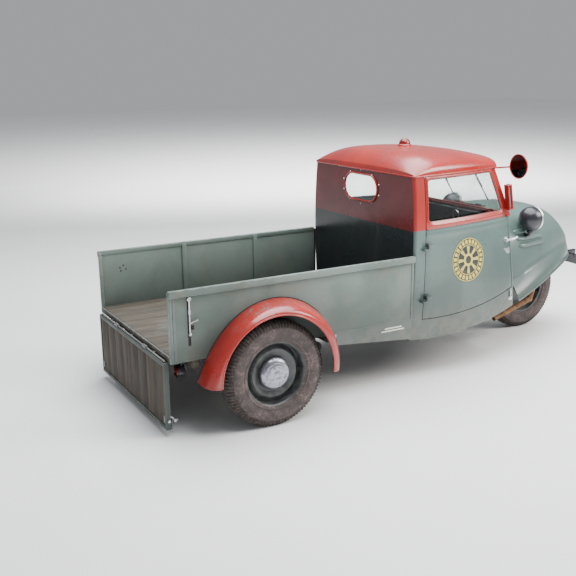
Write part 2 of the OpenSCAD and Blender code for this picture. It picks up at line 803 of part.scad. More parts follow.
module trafficator_arm(side) {
  color([0.85, 0.45, 0.15]) on_side(side) at_trafficator() difference() {
    union() {
      translate([13, 26, traf_pivot]) rotate([0, 90, 0]) cylinder(r = 9, h = 14);
      block([13, 18, 16], [27, 34, traf_pivot]);
    }
    translate([12, 26, traf_pivot]) rotate([0, 90, 0]) cylinder(r = 3 + fit, h = 16);
  }
}

mirror_c = [bed_x + 2700, 700, 1484];
mirror_r = 87;
mirror_pivot = 30;
mirror_pin_r = 5;

// The driver's mirror is set a little lower
mirror_drop = 38;
function mirror_at(side) = mirror_c - [0, 0, side > 0 ? mirror_drop : 0];

module mirror_arm(side) {
  root_p = [screen_x(1455) - 14, 478, 1455];
  pivot = mirror_at(side) + [mirror_pivot, 0, 0];
  color(red) on_side(side) union() {
    bar(root_p, pivot - [0, 4, 0], 6.5);
    translate(pivot - [0, 0, 36]) cylinder(r = mirror_pin_r, h = 72);
  }
}

module mirror_head(side) {
  bowl = [for (a = steps(0, 90, 8)) [mirror_r * sin(a), 22 * cos(a)]];
  c = mirror_at(side);
  color(red) on_side(side) union() {
    translate(c - [14, 0, 0])
      rotate([0, 90, 0])
        rotate_extrude()
          polygon(concat([[0, 22]], [for (i = [1:8]) bowl[i]], [[mirror_r, -6], [0, -6]]));
    difference() {
      union() for (z = [-34, 24])
        translate(c + [2, -10, z]) cube([38, 20, 10]);
      translate(c + [mirror_pivot, 0, -40]) cylinder(r = mirror_pin_r + fit, h = 80);
    }
  }
}

module wiper(side) {
  lean = 19;
  color(dark)
    translate([screen_x0, 0, belt_z])
      rotate([0, 90 - rake_deg, 0])
        rotate([0, 0, 90])
          translate([side * wiper_y, wiper_v, 0])
            rotate([0, 0, -lean])
              difference() {
                union() {
                  translate([0, 0, 4]) cylinder(r = 9, h = 12);
                  block([-4, -200, 10], [4, 0, 15]);
                  block([-3, -310, 3], [3, -70, 11]);
                }
                translate([0, 0, 3]) cylinder(r = 4 + fit, h = 14);
              }
}

// ---------- Tailgate ----------

gate_z0 = 48;
gate_z1 = hinge_z - 8;
board_n = 8;
gate_edge = 24;

module tailgate_frame() {
  hw = gate_w / 2;
  color(bed_green) difference() {
    union() {
      difference() {
        block([hinge_x - gate_t / 2, -hw, gate_z0], [hinge_x + gate_t / 2, hw, gate_z1]);
        block([hinge_x - gate_t, -hw + gate_edge, gate_z0 + gate_edge],
              [hinge_x + gate_t / 2 - 3, hw - gate_edge, gate_z1 - gate_edge]);
      }
      for (y = [-300, 240])
        bar_y(hinge_x, hinge_z, y, y + 60, 12);
      both_sides() bar_y(hinge_x, gate_z0 + 60, hw - 2, hw + 16, 8);
    }
    bar_y(hinge_x, hinge_z, -320, 320, gate_pin_r + fit);
  }
}

module tailgate_boards() {
  y0 = -gate_w / 2 + gate_edge;
  board_w = -2 * y0 / board_n;
  color(wood)
    for (i = [0:board_n - 1])
      block([hinge_x - gate_t / 2 + 4, y0 + i * board_w + 1, gate_z0 + gate_edge + 1],
            [hinge_x + gate_t / 2 - 3, y0 + (i + 1) * board_w - 1, gate_z1 - gate_edge - 1]);
}

module latch(side) {
  y = bed_w / 2 + 8;
  color(steel) on_side(side) difference() {
    union() {
      bar_y(latch_x, latch_z, y - 7, y + 8, 14);
      bar([latch_x, y, latch_z - 11], [latch_x, y, 645], 5);
      bar_y(latch_x, 648, y - 4, y + 10, 9);
      bar([latch_x, y, 715], [latch_x + 48, y + 16, 738], 4);
    }
    bar_y(latch_x, latch_z, y - 8, y + 9, latch_pin_r + fit);
  }
}

chassis_frame();
bed_floor();
bed_side(-1);  // bed_side_right
bed_side(1);  // bed_side_left
side_skirts();
rear_fender(-1);  // rear_fender_right
rear_fender(1);  // rear_fender_left
tail_lamps();
cab_shell();
cab_roof();
cab_back_wall();
cab_floor();
rear_window_frame();
rear_window_glass();
windscreen_frame();
windscreen_glass();
door(-1);  // door_right
door(1);  // door_left
door_glass(-1);  // door_glass_right
door_glass(1);  // door_glass_left
door_handle(-1);  // door_handle_right
door_handle(1);  // door_handle_left
hood_shell();
headlamps();
front_bumper();
fork();
engine();
exhaust_pipe();
front_tyre();
front_rim();
rear_tyre(-1);  // rear_tyre_right
rear_tyre(1);  // rear_tyre_left
rear_rim(-1);  // rear_rim_right
rear_rim(1);  // rear_rim_left
hubcap(-1);  // hubcap_right
hubcap(1);  // hubcap_left
rear_arm(-1);  // rear_arm_right
rear_arm(1);  // rear_arm_left
steering_column();
steering_wheel();
seat_cushion();
seat_backrest();
roof_lamp();
trafficator_housings();
trafficator_arm(-1);  // trafficator_arm_right
trafficator_arm(1);  // trafficator_arm_left
mirror_arm(-1);  // mirror_arm_right
mirror_arm(1);  // mirror_arm_left
mirror_head(-1);  // mirror_right
mirror_head(1);  // mirror_left
wiper(-1);  // wiper_right
wiper(1);  // wiper_left
tailgate_frame();
tailgate_boards();
latch(-1);  // latch_right
latch(1);  // latch_left
gear_lever();
pedal(370, 70);  // clutch_pedal
pedal(190, 70);  // brake_pedal
pedal(105, 45);  // accelerator_pedal
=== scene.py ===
"""Looks of the three-wheeled pickup truck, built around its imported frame.

Metres, +X forward, +Y to the driver's left, +Z up, wheels standing on Z = 0.
"""

import math

import bmesh
import bpy
from mathutils import Matrix, Vector


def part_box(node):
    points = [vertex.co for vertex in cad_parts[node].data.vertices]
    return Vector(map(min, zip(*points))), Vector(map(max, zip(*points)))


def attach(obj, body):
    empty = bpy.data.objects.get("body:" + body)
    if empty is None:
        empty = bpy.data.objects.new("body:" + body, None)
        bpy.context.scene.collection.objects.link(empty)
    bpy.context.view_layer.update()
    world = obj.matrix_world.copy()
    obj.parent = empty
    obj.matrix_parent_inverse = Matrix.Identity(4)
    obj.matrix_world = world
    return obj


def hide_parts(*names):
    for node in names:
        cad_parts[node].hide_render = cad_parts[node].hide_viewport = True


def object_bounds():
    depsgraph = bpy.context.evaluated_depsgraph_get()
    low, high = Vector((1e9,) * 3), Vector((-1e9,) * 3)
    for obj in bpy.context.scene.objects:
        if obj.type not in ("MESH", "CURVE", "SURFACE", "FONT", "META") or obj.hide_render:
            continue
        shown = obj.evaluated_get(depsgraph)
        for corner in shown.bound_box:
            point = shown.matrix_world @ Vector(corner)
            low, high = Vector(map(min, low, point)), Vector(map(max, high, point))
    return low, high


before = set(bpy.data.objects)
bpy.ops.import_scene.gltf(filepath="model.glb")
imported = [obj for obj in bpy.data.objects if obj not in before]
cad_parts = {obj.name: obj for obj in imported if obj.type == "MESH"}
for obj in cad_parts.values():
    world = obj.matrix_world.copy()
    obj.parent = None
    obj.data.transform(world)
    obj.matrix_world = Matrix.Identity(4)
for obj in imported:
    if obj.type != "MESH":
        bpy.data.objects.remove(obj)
cad_low, cad_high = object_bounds()
scene = bpy.context.scene
SIDES = {"right": -1, "left": 1}

# ---------- Driving dimensions, from the frame ----------

bed_low, bed_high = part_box("bed_side_left")
BED_X, BED_FRONT = bed_low.x, bed_high.x
BED_BOTTOM, BED_TOP = bed_low.z, bed_high.z
BED_HW = bed_high.y - 0.020
FLOOR_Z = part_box("bed_floor")[1].z

wall_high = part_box("cab_back_wall")[1]
CAB_X, EAVES = wall_high.x, wall_high.z
CAB_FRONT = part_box("steering_column")[1].x + 0.003
CAB_L = CAB_FRONT - CAB_X
BELT = 1.095
SHEET = 0.003
GAP = 0.004

tyre_low, tyre_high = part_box("rear_tyre_left")
AXLE_X = (tyre_low.x + tyre_high.x) / 2
TYRE_R = (tyre_high.z - tyre_low.z) / 2
WHEEL_Y = (tyre_low.y + tyre_high.y) / 2
front_low, front_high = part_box("front_tyre")
STEER_X = (front_low.x + front_high.x) / 2

NOSE_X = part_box("hood_shell")[1].x + 0.006
HOOD_X = NOSE_X - 1.090
HOOD_TOP = 1.115

DOOR_X0 = CAB_X + 0.095
DOOR_X1 = CAB_FRONT - 0.027
DOOR_TOP = EAVES - GAP
POST_W = 0.046
PANE_Z0, PANE_Z1 = 1.148, 1.430
RAKE = 0.4
SCREEN_X0 = CAB_FRONT + 0.010

HINGE_X, HINGE_Y, HINGE_ZS = DOOR_X0 - 0.003, 0.680, (0.617, 0.987)
HANDLE_X, HANDLE_Z = DOOR_X1 - 0.042, 0.925
HOOD_PIN_X, HOOD_PIN_Z = HOOD_X - 0.010, HOOD_TOP + 0.006
GATE_PIN_X, GATE_PIN_Z = BED_X - 0.015, 0.486
LATCH_X, LATCH_Z = BED_X + 0.130, 0.867
FLOOR_BOARD_Z, BEARER_Z = FLOOR_Z - 0.020, 0.425


# ---------- Body surfaces ----------


def blend(a, b, t):
    return a + (b - a) * t


def steps(a, b, n):
    return [blend(a, b, i / n) for i in range(n + 1)]


def sin_deg(a):
    return math.sin(math.radians(a))


def cos_deg(a):
    return math.cos(math.radians(a))


def rear_hw(z):
    """Half-width of the cab at its rear wall."""
    return BED_HW - (0.09 if z < 1 else 0.16) * (z - 1) ** 2


def front_hw(z):
    """Half-width of the cab at its front corner."""
    return 0.612 - 0.1 * (z - 0.6 + math.sqrt((z - 0.6) ** 2 + 0.01))


def side_y(x, z):
    t = (x - CAB_X) / CAB_L
    return blend(rear_hw(z), front_hw(z), t) + 0.027 * 4 * t * (1 - t)


def sill_z(x):
    return 0.300 + 0.195 * (x - CAB_X - 0.190) ** 2


def door_z(x):
    return 0.452 + 0.224 * (x - CAB_X - 0.240) ** 2


def screen_x(z):
    return SCREEN_X0 - RAKE * (z - BELT)


def door_front_x(z):
    return min(DOOR_X1, screen_x(z) - POST_W)


def roof_h(x):
    """Height of the roof's crown line above the eaves."""
    s = (x - CAB_X + 0.010) / 0.900
    rise = 1 - (1 - s / 0.4) ** 4 if s < 0.4 else 1 - 0.55 * ((s - 0.4) / 0.6) ** 2
    return 0.025 + 0.120 * rise


def roof_point(x, a, t):
    w = side_y(x, EAVES) + 0.002 - t
    y = w * math.copysign(abs(sin_deg(a)) ** 0.75, a)
    return (x, y, EAVES + (roof_h(x) - t) * max(0, cos_deg(a)) ** 0.75)


def hood_s(x):
    return (x - HOOD_X + 0.010) / 1.100


def hood_low_y(x):
    return 0.600 * max(0, 1 - hood_s(x) ** 1.3) ** 0.6


def hood_low_z(x):
    return 0.440 + 0.180 * sin_deg(min(90, 99 * hood_s(x)))


def hood_top_z(x):
    return 0.622 + (HOOD_TOP - 0.622) * max(0, 1 - hood_s(x) ** 4) ** 1.05


BAND_K = 0.3
BAND_BULGE = 0.022


def hood_waist(x):
    """Half-width, height and shrinkage of the hood where the side panel meets the rolled band."""
    s, low_y, low_z, top_z = hood_s(x), hood_low_y(x), hood_low_z(x), hood_top_z(x)
    shrink = 1 - 0.8 * s
    waist_z = min(low_z + 0.130, blend(low_z, top_z, 0.55))
    waist_y = low_y - 0.095 * shrink * min(1, low_y / 0.150)
    return waist_y, waist_z, shrink


def hood_point(x, k, t):
    """Section of the hood: k from 0 at the lower edge to 1 at the top centre, t below the skin."""
    low_y, low_z, top_z = hood_low_y(x), hood_low_z(x), hood_top_z(x)
    waist_y, waist_z, shrink = hood_waist(x)
    if k < BAND_K:
        a = k / BAND_K
        y = blend(low_y, waist_y, a) + BAND_BULGE * sin_deg(180 * a) * shrink
        return (x, max(0, y - t), blend(low_z, waist_z, a))
    a = 90 * (k - BAND_K) / (1 - BAND_K)
    up = max(0, sin_deg(a)) ** 0.667
    y = (waist_y - t) * max(0, cos_deg(a)) ** 0.667 * (1 - 0.12 * up)
    return (x, max(0, y), blend(waist_z, top_z - t, up))


def hood_side_y(x, z):
    """Half-width of the hood's side panel at height z."""
    waist_y, waist_z, _ = hood_waist(x)
    up = min(1, max(0, (z - waist_z) / (hood_top_z(x) - waist_z)))
    a = math.asin(up**1.5)
    return waist_y * math.cos(a) ** 0.667 * (1 - 0.12 * up)


def fender_point(f, v, t):
    """Fender at angle f from the top, rear negative, and v from the bed side to the outer lip."""
    flare = 0.085 * max(0, -f / 90) ** 4
    r = 0.397 + (0.050 + flare) * max(0, cos_deg(90 * v)) ** 0.8 - t
    centre = blend(AXLE_X + 0.065, AXLE_X, v)
    y = BED_HW + (0.205 - t) * sin_deg(90 * v)
    return (centre + r * sin_deg(f), y, TYRE_R + r * cos_deg(f))


# ---------- Materials ----------


class Finish:
    """A node material in the making, with short ways to add the nodes that it is made of."""

    def __init__(self, name, **values):
        self.material = bpy.data.materials.new(name)
        self.material.use_nodes = True
        self.tree = self.material.node_tree
        self.shader = self.tree.nodes["Principled BSDF"]
        self.where = self.add("ShaderNodeTexCoord").outputs["Object"]
        for key, value in values.items():
            self.shader.inputs[key.replace("_", " ").title().replace("Ior", "IOR")].default_value = value

    def add(self, kind, **settings):
        node = self.tree.nodes.new(kind)
        for key, value in settings.items():
            setattr(node, key, value)
        return node

    def join(self, value, socket):
        if isinstance(value, bpy.types.NodeSocket):
            self.tree.links.new(value, socket)
        elif isinstance(value, tuple) and len(value) == 3 and socket.type == "RGBA":
            socket.default_value = (*value, 1)
        else:
            socket.default_value = value

    def stretched(self, scale):
        node = self.add("ShaderNodeMapping")
        self.join(self.where, node.inputs["Vector"])
        node.inputs["Scale"].default_value = scale
        return node.outputs["Vector"]

    def noise(self, scale, detail=4, rough=0.55, stretch=None, warp=0.0):
        node = self.add("ShaderNodeTexNoise")
        self.join(self.stretched(stretch) if stretch else self.where, node.inputs["Vector"])
        node.inputs["Scale"].default_value = scale
        node.inputs["Detail"].default_value = detail
        node.inputs["Roughness"].default_value = rough
        node.inputs["Distortion"].default_value = warp
        return node.outputs["Fac"]

    def cells(self, scale, feature="DISTANCE_TO_EDGE"):
        node = self.add("ShaderNodeTexVoronoi", feature=feature)
        self.join(self.where, node.inputs["Vector"])
        node.inputs["Scale"].default_value = scale
        return node.outputs["Distance"]

    def along(self, axis):
        node = self.add("ShaderNodeSeparateXYZ")
        self.join(self.where, node.inputs["Vector"])
        return node.outputs[axis]

    def math(self, operation, a, b=0.0):
        node = self.add("ShaderNodeMath", operation=operation)
        self.join(a, node.inputs[0])
        self.join(b, node.inputs[1])
        return node.outputs["Value"]

    def span(self, value, low, high, a=0.0, b=1.0):
        """Value from low to high becomes a to b, smoothly, and stays there outside."""
        node = self.add("ShaderNodeMapRange", interpolation_type="SMOOTHSTEP")
        for number, socket in zip((value, low, high, a, b), node.inputs):
            self.join(number, socket)
        return node.outputs["Result"]

    def mix(self, share, a, b):
        node = self.add("ShaderNodeMix", data_type="RGBA")
        self.join(share, node.inputs["Factor"])
        colours = [s for s in node.inputs if s.type == "RGBA"]
        self.join(a, colours[0])
        self.join(b, colours[1])
        return [s for s in node.outputs if s.type == "RGBA"][0]

    def edges(self, low=0.52, high=0.60):
        """1 where the surface has a worn convex edge."""
        return self.span(self.add("ShaderNodeNewGeometry").outputs["Pointiness"], low, high)

    def bump(self, height, strength=0.3, distance=0.002):
        node = self.add("ShaderNodeBump")
        node.inputs["Strength"].default_value = strength
        node.inputs["Distance"].default_value = distance
        self.join(height, node.inputs["Height"])
        self.join(node.outputs["Normal"], self.shader.inputs["Normal"])

    def paints(self, colour, roughness=None):
        self.join(colour, self.shader.inputs["Base Color"])
        if roughness is not None:
            self.join(roughness, self.shader.inputs["Roughness"])
        return self.material


RED = (0.43, 0.028, 0.020)
RED_DEEP = (0.30, 0.014, 0.012)
# RED darkened as painted shade, for the rear wall that faces away from the light
SHADED_WALL_RED = (0.150, 0.010, 0.012)
GREEN = (0.108, 0.168, 0.150)
GREEN_DEEP = (0.076, 0.124, 0.110)
SLATE = (0.012, 0.017, 0.022)
DUST = (0.20, 0.165, 0.125)
PRIMER = (0.20, 0.195, 0.175)


def worn_paint(finish, light, deep, chip, wear=0.5):
    """Old paint: clouded colour, faint run-down stains, small chips and dull patches."""
    cloud = finish.span(finish.noise(2.6, 5, warp=0.4), 0.35, 0.68)
    colour = finish.mix(cloud, light, deep)
    runs = finish.span(finish.noise(9, 5, stretch=(1, 1, 0.14)), 0.54, 0.76, 0, 0.30 * wear)
    colour = finish.mix(runs, colour, DUST)
    blotches = finish.span(finish.noise(17, 6, 0.7), 0.60, 0.72, 0, 0.35 * wear)
    colour = finish.mix(blotches, colour, deep)
    chips = finish.span(finish.noise(85, 5, 0.65), 0.735 - 0.05 * wear, 0.745 - 0.05 * wear, 0, 0.8)
    return finish.mix(chips, colour, chip), cloud


def low_shade_and_dust(finish, colour, top=0.55, amount=0.6, painted_shade_max=0.55):
    """Painted shade that darkens the paint downwards, under dust that thins out upwards."""
    # painted shade: a near-black colour mixed in more strongly towards the bottom
    painted_shade = finish.span(finish.along("Z"), 0.35, 1.05, painted_shade_max, 0)
    colour = finish.mix(painted_shade, colour, (0.020, 0.026, 0.024))
    height = finish.span(finish.along("Z"), 0.28, top, 1, 0)
    patchy = finish.span(finish.noise(14, 6, 0.6), 0.35, 0.65, 0.2, 1)
    return finish.mix(finish.math("MULTIPLY", finish.math("MULTIPLY", height, patchy), amount), colour,
                      DUST)


def gloss(finish, cloud, low, high):
    fine = finish.noise(180, 3)
    finish.bump(finish.math("ADD", finish.noise(35, 4), finish.math("MULTIPLY", fine, 0.25)), 0.10, 0.001)
    return finish.span(cloud, 0, 1, low, high)


def one_colour_paint(name, light, deep, chip, wear=0.5, shine=(0.30, 0.42), dirt=0.5, coat=0.25):
    finish = Finish(name, coat_weight=coat, coat_roughness=0.18)
    colour, cloud = worn_paint(finish, light, deep, chip, wear)
    return finish.paints(low_shade_and_dust(finish, colour, 0.60, dirt), gloss(finish, cloud, *shine))


def two_tone_paint(name, line_z, below, below_deep, above=RED, above_deep=RED_DEEP, shine=(0.26, 0.38)):
    """One colour below a masked line and red above it, with a slightly uneven brush edge."""
    finish = Finish(name, coat_weight=0.3, coat_roughness=0.15)
    wobble = finish.math("MULTIPLY", finish.noise(12, 3), 0.004)
    height = finish.math("ADD", finish.along("Z"), wobble)
    upper = finish.span(height, line_z + 0.0010, line_z + 0.0028)
    light = finish.mix(upper, below, above)
    deep = finish.mix(upper, below_deep, above_deep)
    colour, cloud = worn_paint(finish, light, deep, PRIMER, 0.45)
    return finish.paints(low_shade_and_dust(finish, colour, 0.62, 0.55), gloss(finish, cloud, *shine))


def fender_paint():
    """Red paint, scuffed through to grey primer on the crown of the fender."""
    finish = Finish("fender_red", coat_weight=0.45, coat_roughness=0.12)
    colour, cloud = worn_paint(finish, RED, RED_DEEP, PRIMER, 0.8)
    crown = finish.span(finish.along("Z"), 0.690, 0.765)
    rearward = finish.span(finish.along("X"), AXLE_X + 0.02, AXLE_X - 0.06)
    patch = finish.math("MULTIPLY", crown, rearward)
    rubbed = finish.span(finish.noise(16, 7, 0.7), 0.50, 0.60)
    scuff = finish.math("MULTIPLY", finish.math("MULTIPLY", patch, rubbed), 0.8)
    colour = finish.mix(scuff, colour, (0.17, 0.155, 0.145))
    return finish.paints(low_shade_and_dust(finish, colour, 0.45, 0.45, 0.05), gloss(finish, cloud, 0.24, 0.36))


def bed_paint():
    """Grey-green bed paint, mottled and brown-stained from use."""
    finish = Finish("bed_green")
    colour, cloud = worn_paint(finish, (0.190, 0.240, 0.215), (0.130, 0.172, 0.152), PRIMER, 0.9)
    stain = finish.span(finish.noise(5.5, 7, 0.68, warp=0.6), 0.50, 0.74, 0, 0.55)
    colour = finish.mix(stain, colour, (0.20, 0.170, 0.125))
    speck = finish.span(finish.noise(46, 6, 0.7), 0.62, 0.70, 0, 0.5)
    colour = finish.mix(speck, colour, (0.100, 0.115, 0.100))
    return finish.paints(low_shade_and_dust(finish, colour, 0.60, 0.35), gloss(finish, cloud, 0.50, 0.66))


def rail_paint():
    """Rubbed edge rails: green paint, worn pale along the edges."""
    finish = Finish("rail_green")
    colour, cloud = worn_paint(finish, (0.110, 0.155, 0.148), (0.070, 0.105, 0.100), PRIMER, 0.9)
    rub = finish.math("MULTIPLY", finish.edges(0.505, 0.56), finish.span(finish.noise(22, 4), 0.35, 0.6))
    colour = finish.mix(rub, colour, (0.24, 0.28, 0.27))
    return finish.paints(colour, gloss(finish, cloud, 0.42, 0.55))


def dark_paint(name="chassis_black", tone=(0.020, 0.021, 0.023), rough=0.5):
    finish = Finish(name)
    dusty = finish.span(finish.noise(11, 6, 0.65), 0.42, 0.72, 0, 0.5)
    colour = finish.mix(dusty, tone, (0.10, 0.085, 0.068))
    finish.bump(finish.noise(120, 4), 0.25, 0.001)
    return finish.paints(colour, finish.span(dusty, 0, 0.5, rough, rough + 0.25))


def gloss_black():
    """Lamp bowl enamel."""
    finish = Finish("lamp_black", coat_weight=0.25, coat_roughness=0.22)
    haze = finish.span(finish.noise(9, 5), 0.4, 0.75, 0, 0.35)
    colour = finish.mix(haze, (0.016, 0.016, 0.022), (0.040, 0.040, 0.052))
    finish.bump(finish.noise(60, 3), 0.05, 0.001)
    return finish.paints(colour, finish.span(haze, 0, 0.35, 0.30, 0.44))


def metal(name, tone, dull, rough=0.28, spots=0.4, scale=30):
    finish = Finish(name, metallic=1.0)
    tarnish = finish.span(finish.noise(scale, 6, 0.7), 0.45, 0.68, 0, spots)
    scratches = finish.noise(260, 2, stretch=(1, 0.08, 1))
    finish.bump(finish.math("ADD", finish.noise(scale * 4, 4), finish.math("MULTIPLY", scratches, 0.3)),
                0.12, 0.001)
    return finish.paints(finish.mix(tarnish, tone, dull),
                         finish.span(tarnish, 0, spots, rough, rough + 0.3))


def cast_metal():
    finish = Finish("engine_cast", metallic=0.7)
    oil = finish.span(finish.noise(8, 6, 0.6), 0.45, 0.7)
    colour = finish.mix(oil, (0.30, 0.30, 0.29), (0.07, 0.055, 0.04))
    finish.bump(finish.noise(220, 5), 0.5, 0.001)
    return finish.paints(colour, finish.span(oil, 0, 1, 0.62, 0.35))


def rusty():
    finish = Finish("rust", metallic=0.2)
    patch = finish.span(finish.noise(20, 7, 0.7), 0.35, 0.65)
    colour = finish.mix(patch, (0.13, 0.06, 0.03), (0.30, 0.16, 0.075))
    finish.bump(finish.noise(150, 6), 0.6, 0.001)
    return finish.paints(colour, 0.85)


def rubber():
    """Tyre rubber with dried mud on the wall and bare tread."""
    finish = Finish("tyre_rubber")
    mud = finish.span(finish.noise(13, 7, 0.66, warp=0.5), 0.38, 0.66)
    fine = finish.span(finish.noise(70, 5, 0.7), 0.42, 0.66, 0.35, 1)
    share = finish.math("MULTIPLY", finish.math("MULTIPLY", mud, fine), 0.80)
    colour = finish.mix(share, (0.048, 0.036, 0.034), (0.215, 0.165, 0.155))
    finish.bump(finish.noise(150, 5, 0.6), 0.35, 0.001)
    return finish.paints(colour, finish.span(mud, 0, 1, 0.72, 0.95))


def tread_rubber():
    finish = Finish("tread_rubber")
    dust = finish.span(finish.noise(40, 5, 0.65), 0.45, 0.7, 0, 0.5)
    finish.bump(finish.noise(200, 4), 0.3, 0.001)
    return finish.paints(finish.mix(dust, (0.040, 0.031, 0.028), (0.150, 0.115, 0.100)), 0.85)


def plain_rubber():
    finish = Finish("black_rubber")
    finish.bump(finish.noise(240, 4), 0.3, 0.0008)
    bloom = finish.span(finish.noise(25, 4), 0.4, 0.7, 0, 0.5)
    return finish.paints(finish.mix(bloom, (0.010, 0.010, 0.010), (0.040, 0.040, 0.040)), 0.7)


def rim_paint():
    finish = Finish("rim_grey", coat_weight=0.2)
    dusty = finish.span(finish.noise(16, 6, 0.65), 0.36, 0.70)
    colour = finish.mix(dusty, (0.030, 0.034, 0.036), (0.085, 0.088, 0.084))
    finish.bump(finish.noise(90, 4), 0.2, 0.001)
    return finish.paints(colour, finish.span(dusty, 0, 1, 0.38, 0.62))


def timber(name, grain_axis, board_axis, board_w, board_start, light, dark_tone, worn):
    """Planks with grain along one axis and a tone of its own for each board."""
    finish = Finish(name)
    stretch = {"X": (0.06, 1, 1), "Z": (1, 1, 0.06)}[grain_axis]
    index = finish.math("FLOOR",
                        finish.math("DIVIDE",
                                    finish.math("SUBTRACT", finish.along(board_axis), board_start),
                                    board_w))
    board = finish.add("ShaderNodeTexWhiteNoise", noise_dimensions="1D")
    finish.join(index, board.inputs["W"])
    fibre = finish.noise(90, 8, 0.7, stretch, 0.3)
    rings = finish.noise(16, 5, 0.6, stretch, 1.2)
    grain = finish.math("ADD", finish.math("MULTIPLY", fibre, 0.55), finish.math("MULTIPLY", rings, 0.45))
    colour = finish.mix(finish.span(grain, 0.38, 0.64), dark_tone, light)
    colour = finish.mix(finish.math("MULTIPLY", board.outputs["Value"], 0.45), colour, dark_tone)
    grey = finish.span(finish.noise(7, 6, 0.65), 0.48, 0.72, 0, 0.55)
    colour = finish.mix(grey, colour, worn)
    finish.bump(grain, 0.55, 0.0015)
    return finish.paints(colour, finish.span(grain, 0.3, 0.7, 0.82, 0.62))


def clear_glass(name="window_glass", tint=(0.86, 0.91, 0.90)):
    finish = Finish(name, transmission_weight=1.0, ior=1.45)
    smear = finish.span(finish.noise(5, 6, 0.7, warp=0.8), 0.40, 0.80)
    colour = finish.mix(finish.math("MULTIPLY", smear, 0.35), tint, (0.62, 0.62, 0.58))
    return finish.paints(colour, finish.span(smear, 0, 1, 0.015, 0.09))


def red_glass(name="red_lens", tint=(0.60, 0.015, 0.015)):
    finish = Finish(name, transmission_weight=0.55, ior=1.5, coat_weight=0.6)
    facets = finish.cells(190)
    finish.bump(facets, 0.4, 0.002)
    colour = finish.mix(finish.span(facets, 0.0, 0.35), tuple(0.4 * c for c in tint), tint)
    return finish.paints(colour, finish.span(finish.noise(30, 4), 0.4, 0.7, 0.12, 0.28))


def leather():
    finish = Finish("seat_leather", sheen_weight=0.1)
    creases = finish.cells(240)
    broad = finish.noise(9, 6, 0.6)
    worn = finish.span(broad, 0.45, 0.72, 0, 0.6)
    finish.bump(finish.math("ADD", finish.span(creases, 0, 0.12), finish.math("MULTIPLY", broad, 0.8)),
                0.35, 0.0012)
    colour = finish.mix(worn, (0.028, 0.018, 0.013), (0.085, 0.052, 0.034))
    return finish.paints(colour, finish.span(worn, 0, 0.6, 0.40, 0.62))


def bakelite():
    finish = Finish("steering_plastic", coat_weight=0.4)
    swirl = finish.span(finish.noise(22, 5, 0.6, warp=1.5), 0.4, 0.7)
    finish.bump(finish.noise(90, 3), 0.06, 0.001)
    return finish.paints(finish.mix(swirl, (0.012, 0.010, 0.009), (0.040, 0.028, 0.020)), 0.30)


def lining():
    """Painted inner faces of the cab."""
    finish = Finish("cab_lining")
    cloud = finish.span(finish.noise(4, 6, 0.65), 0.38, 0.70)
    colour = finish.mix(cloud, (0.075, 0.090, 0.082), (0.135, 0.145, 0.128))
    finish.bump(finish.noise(110, 4), 0.2, 0.001)
    return finish.paints(colour, 0.62)


def flat_enamel(name, tone, worn_tone):
    """Sign-writer's enamel, rubbed thin in places."""
    finish = Finish(name)
    thin = finish.span(finish.noise(38, 6, 0.7), 0.50, 0.66, 0, 0.75)
    finish.bump(finish.noise(130, 4), 0.15, 0.0008)
    return finish.paints(finish.mix(thin, tone, worn_tone), finish.span(thin, 0, 0.75, 0.38, 0.55))


def studio_floor():
    finish = Finish("studio_floor", roughness=0.9)
    cloud = finish.span(finish.noise(0.8, 3), 0.3, 0.7)
    return finish.paints(finish.mix(cloud, (0.90, 0.90, 0.90), (0.93, 0.93, 0.93)))


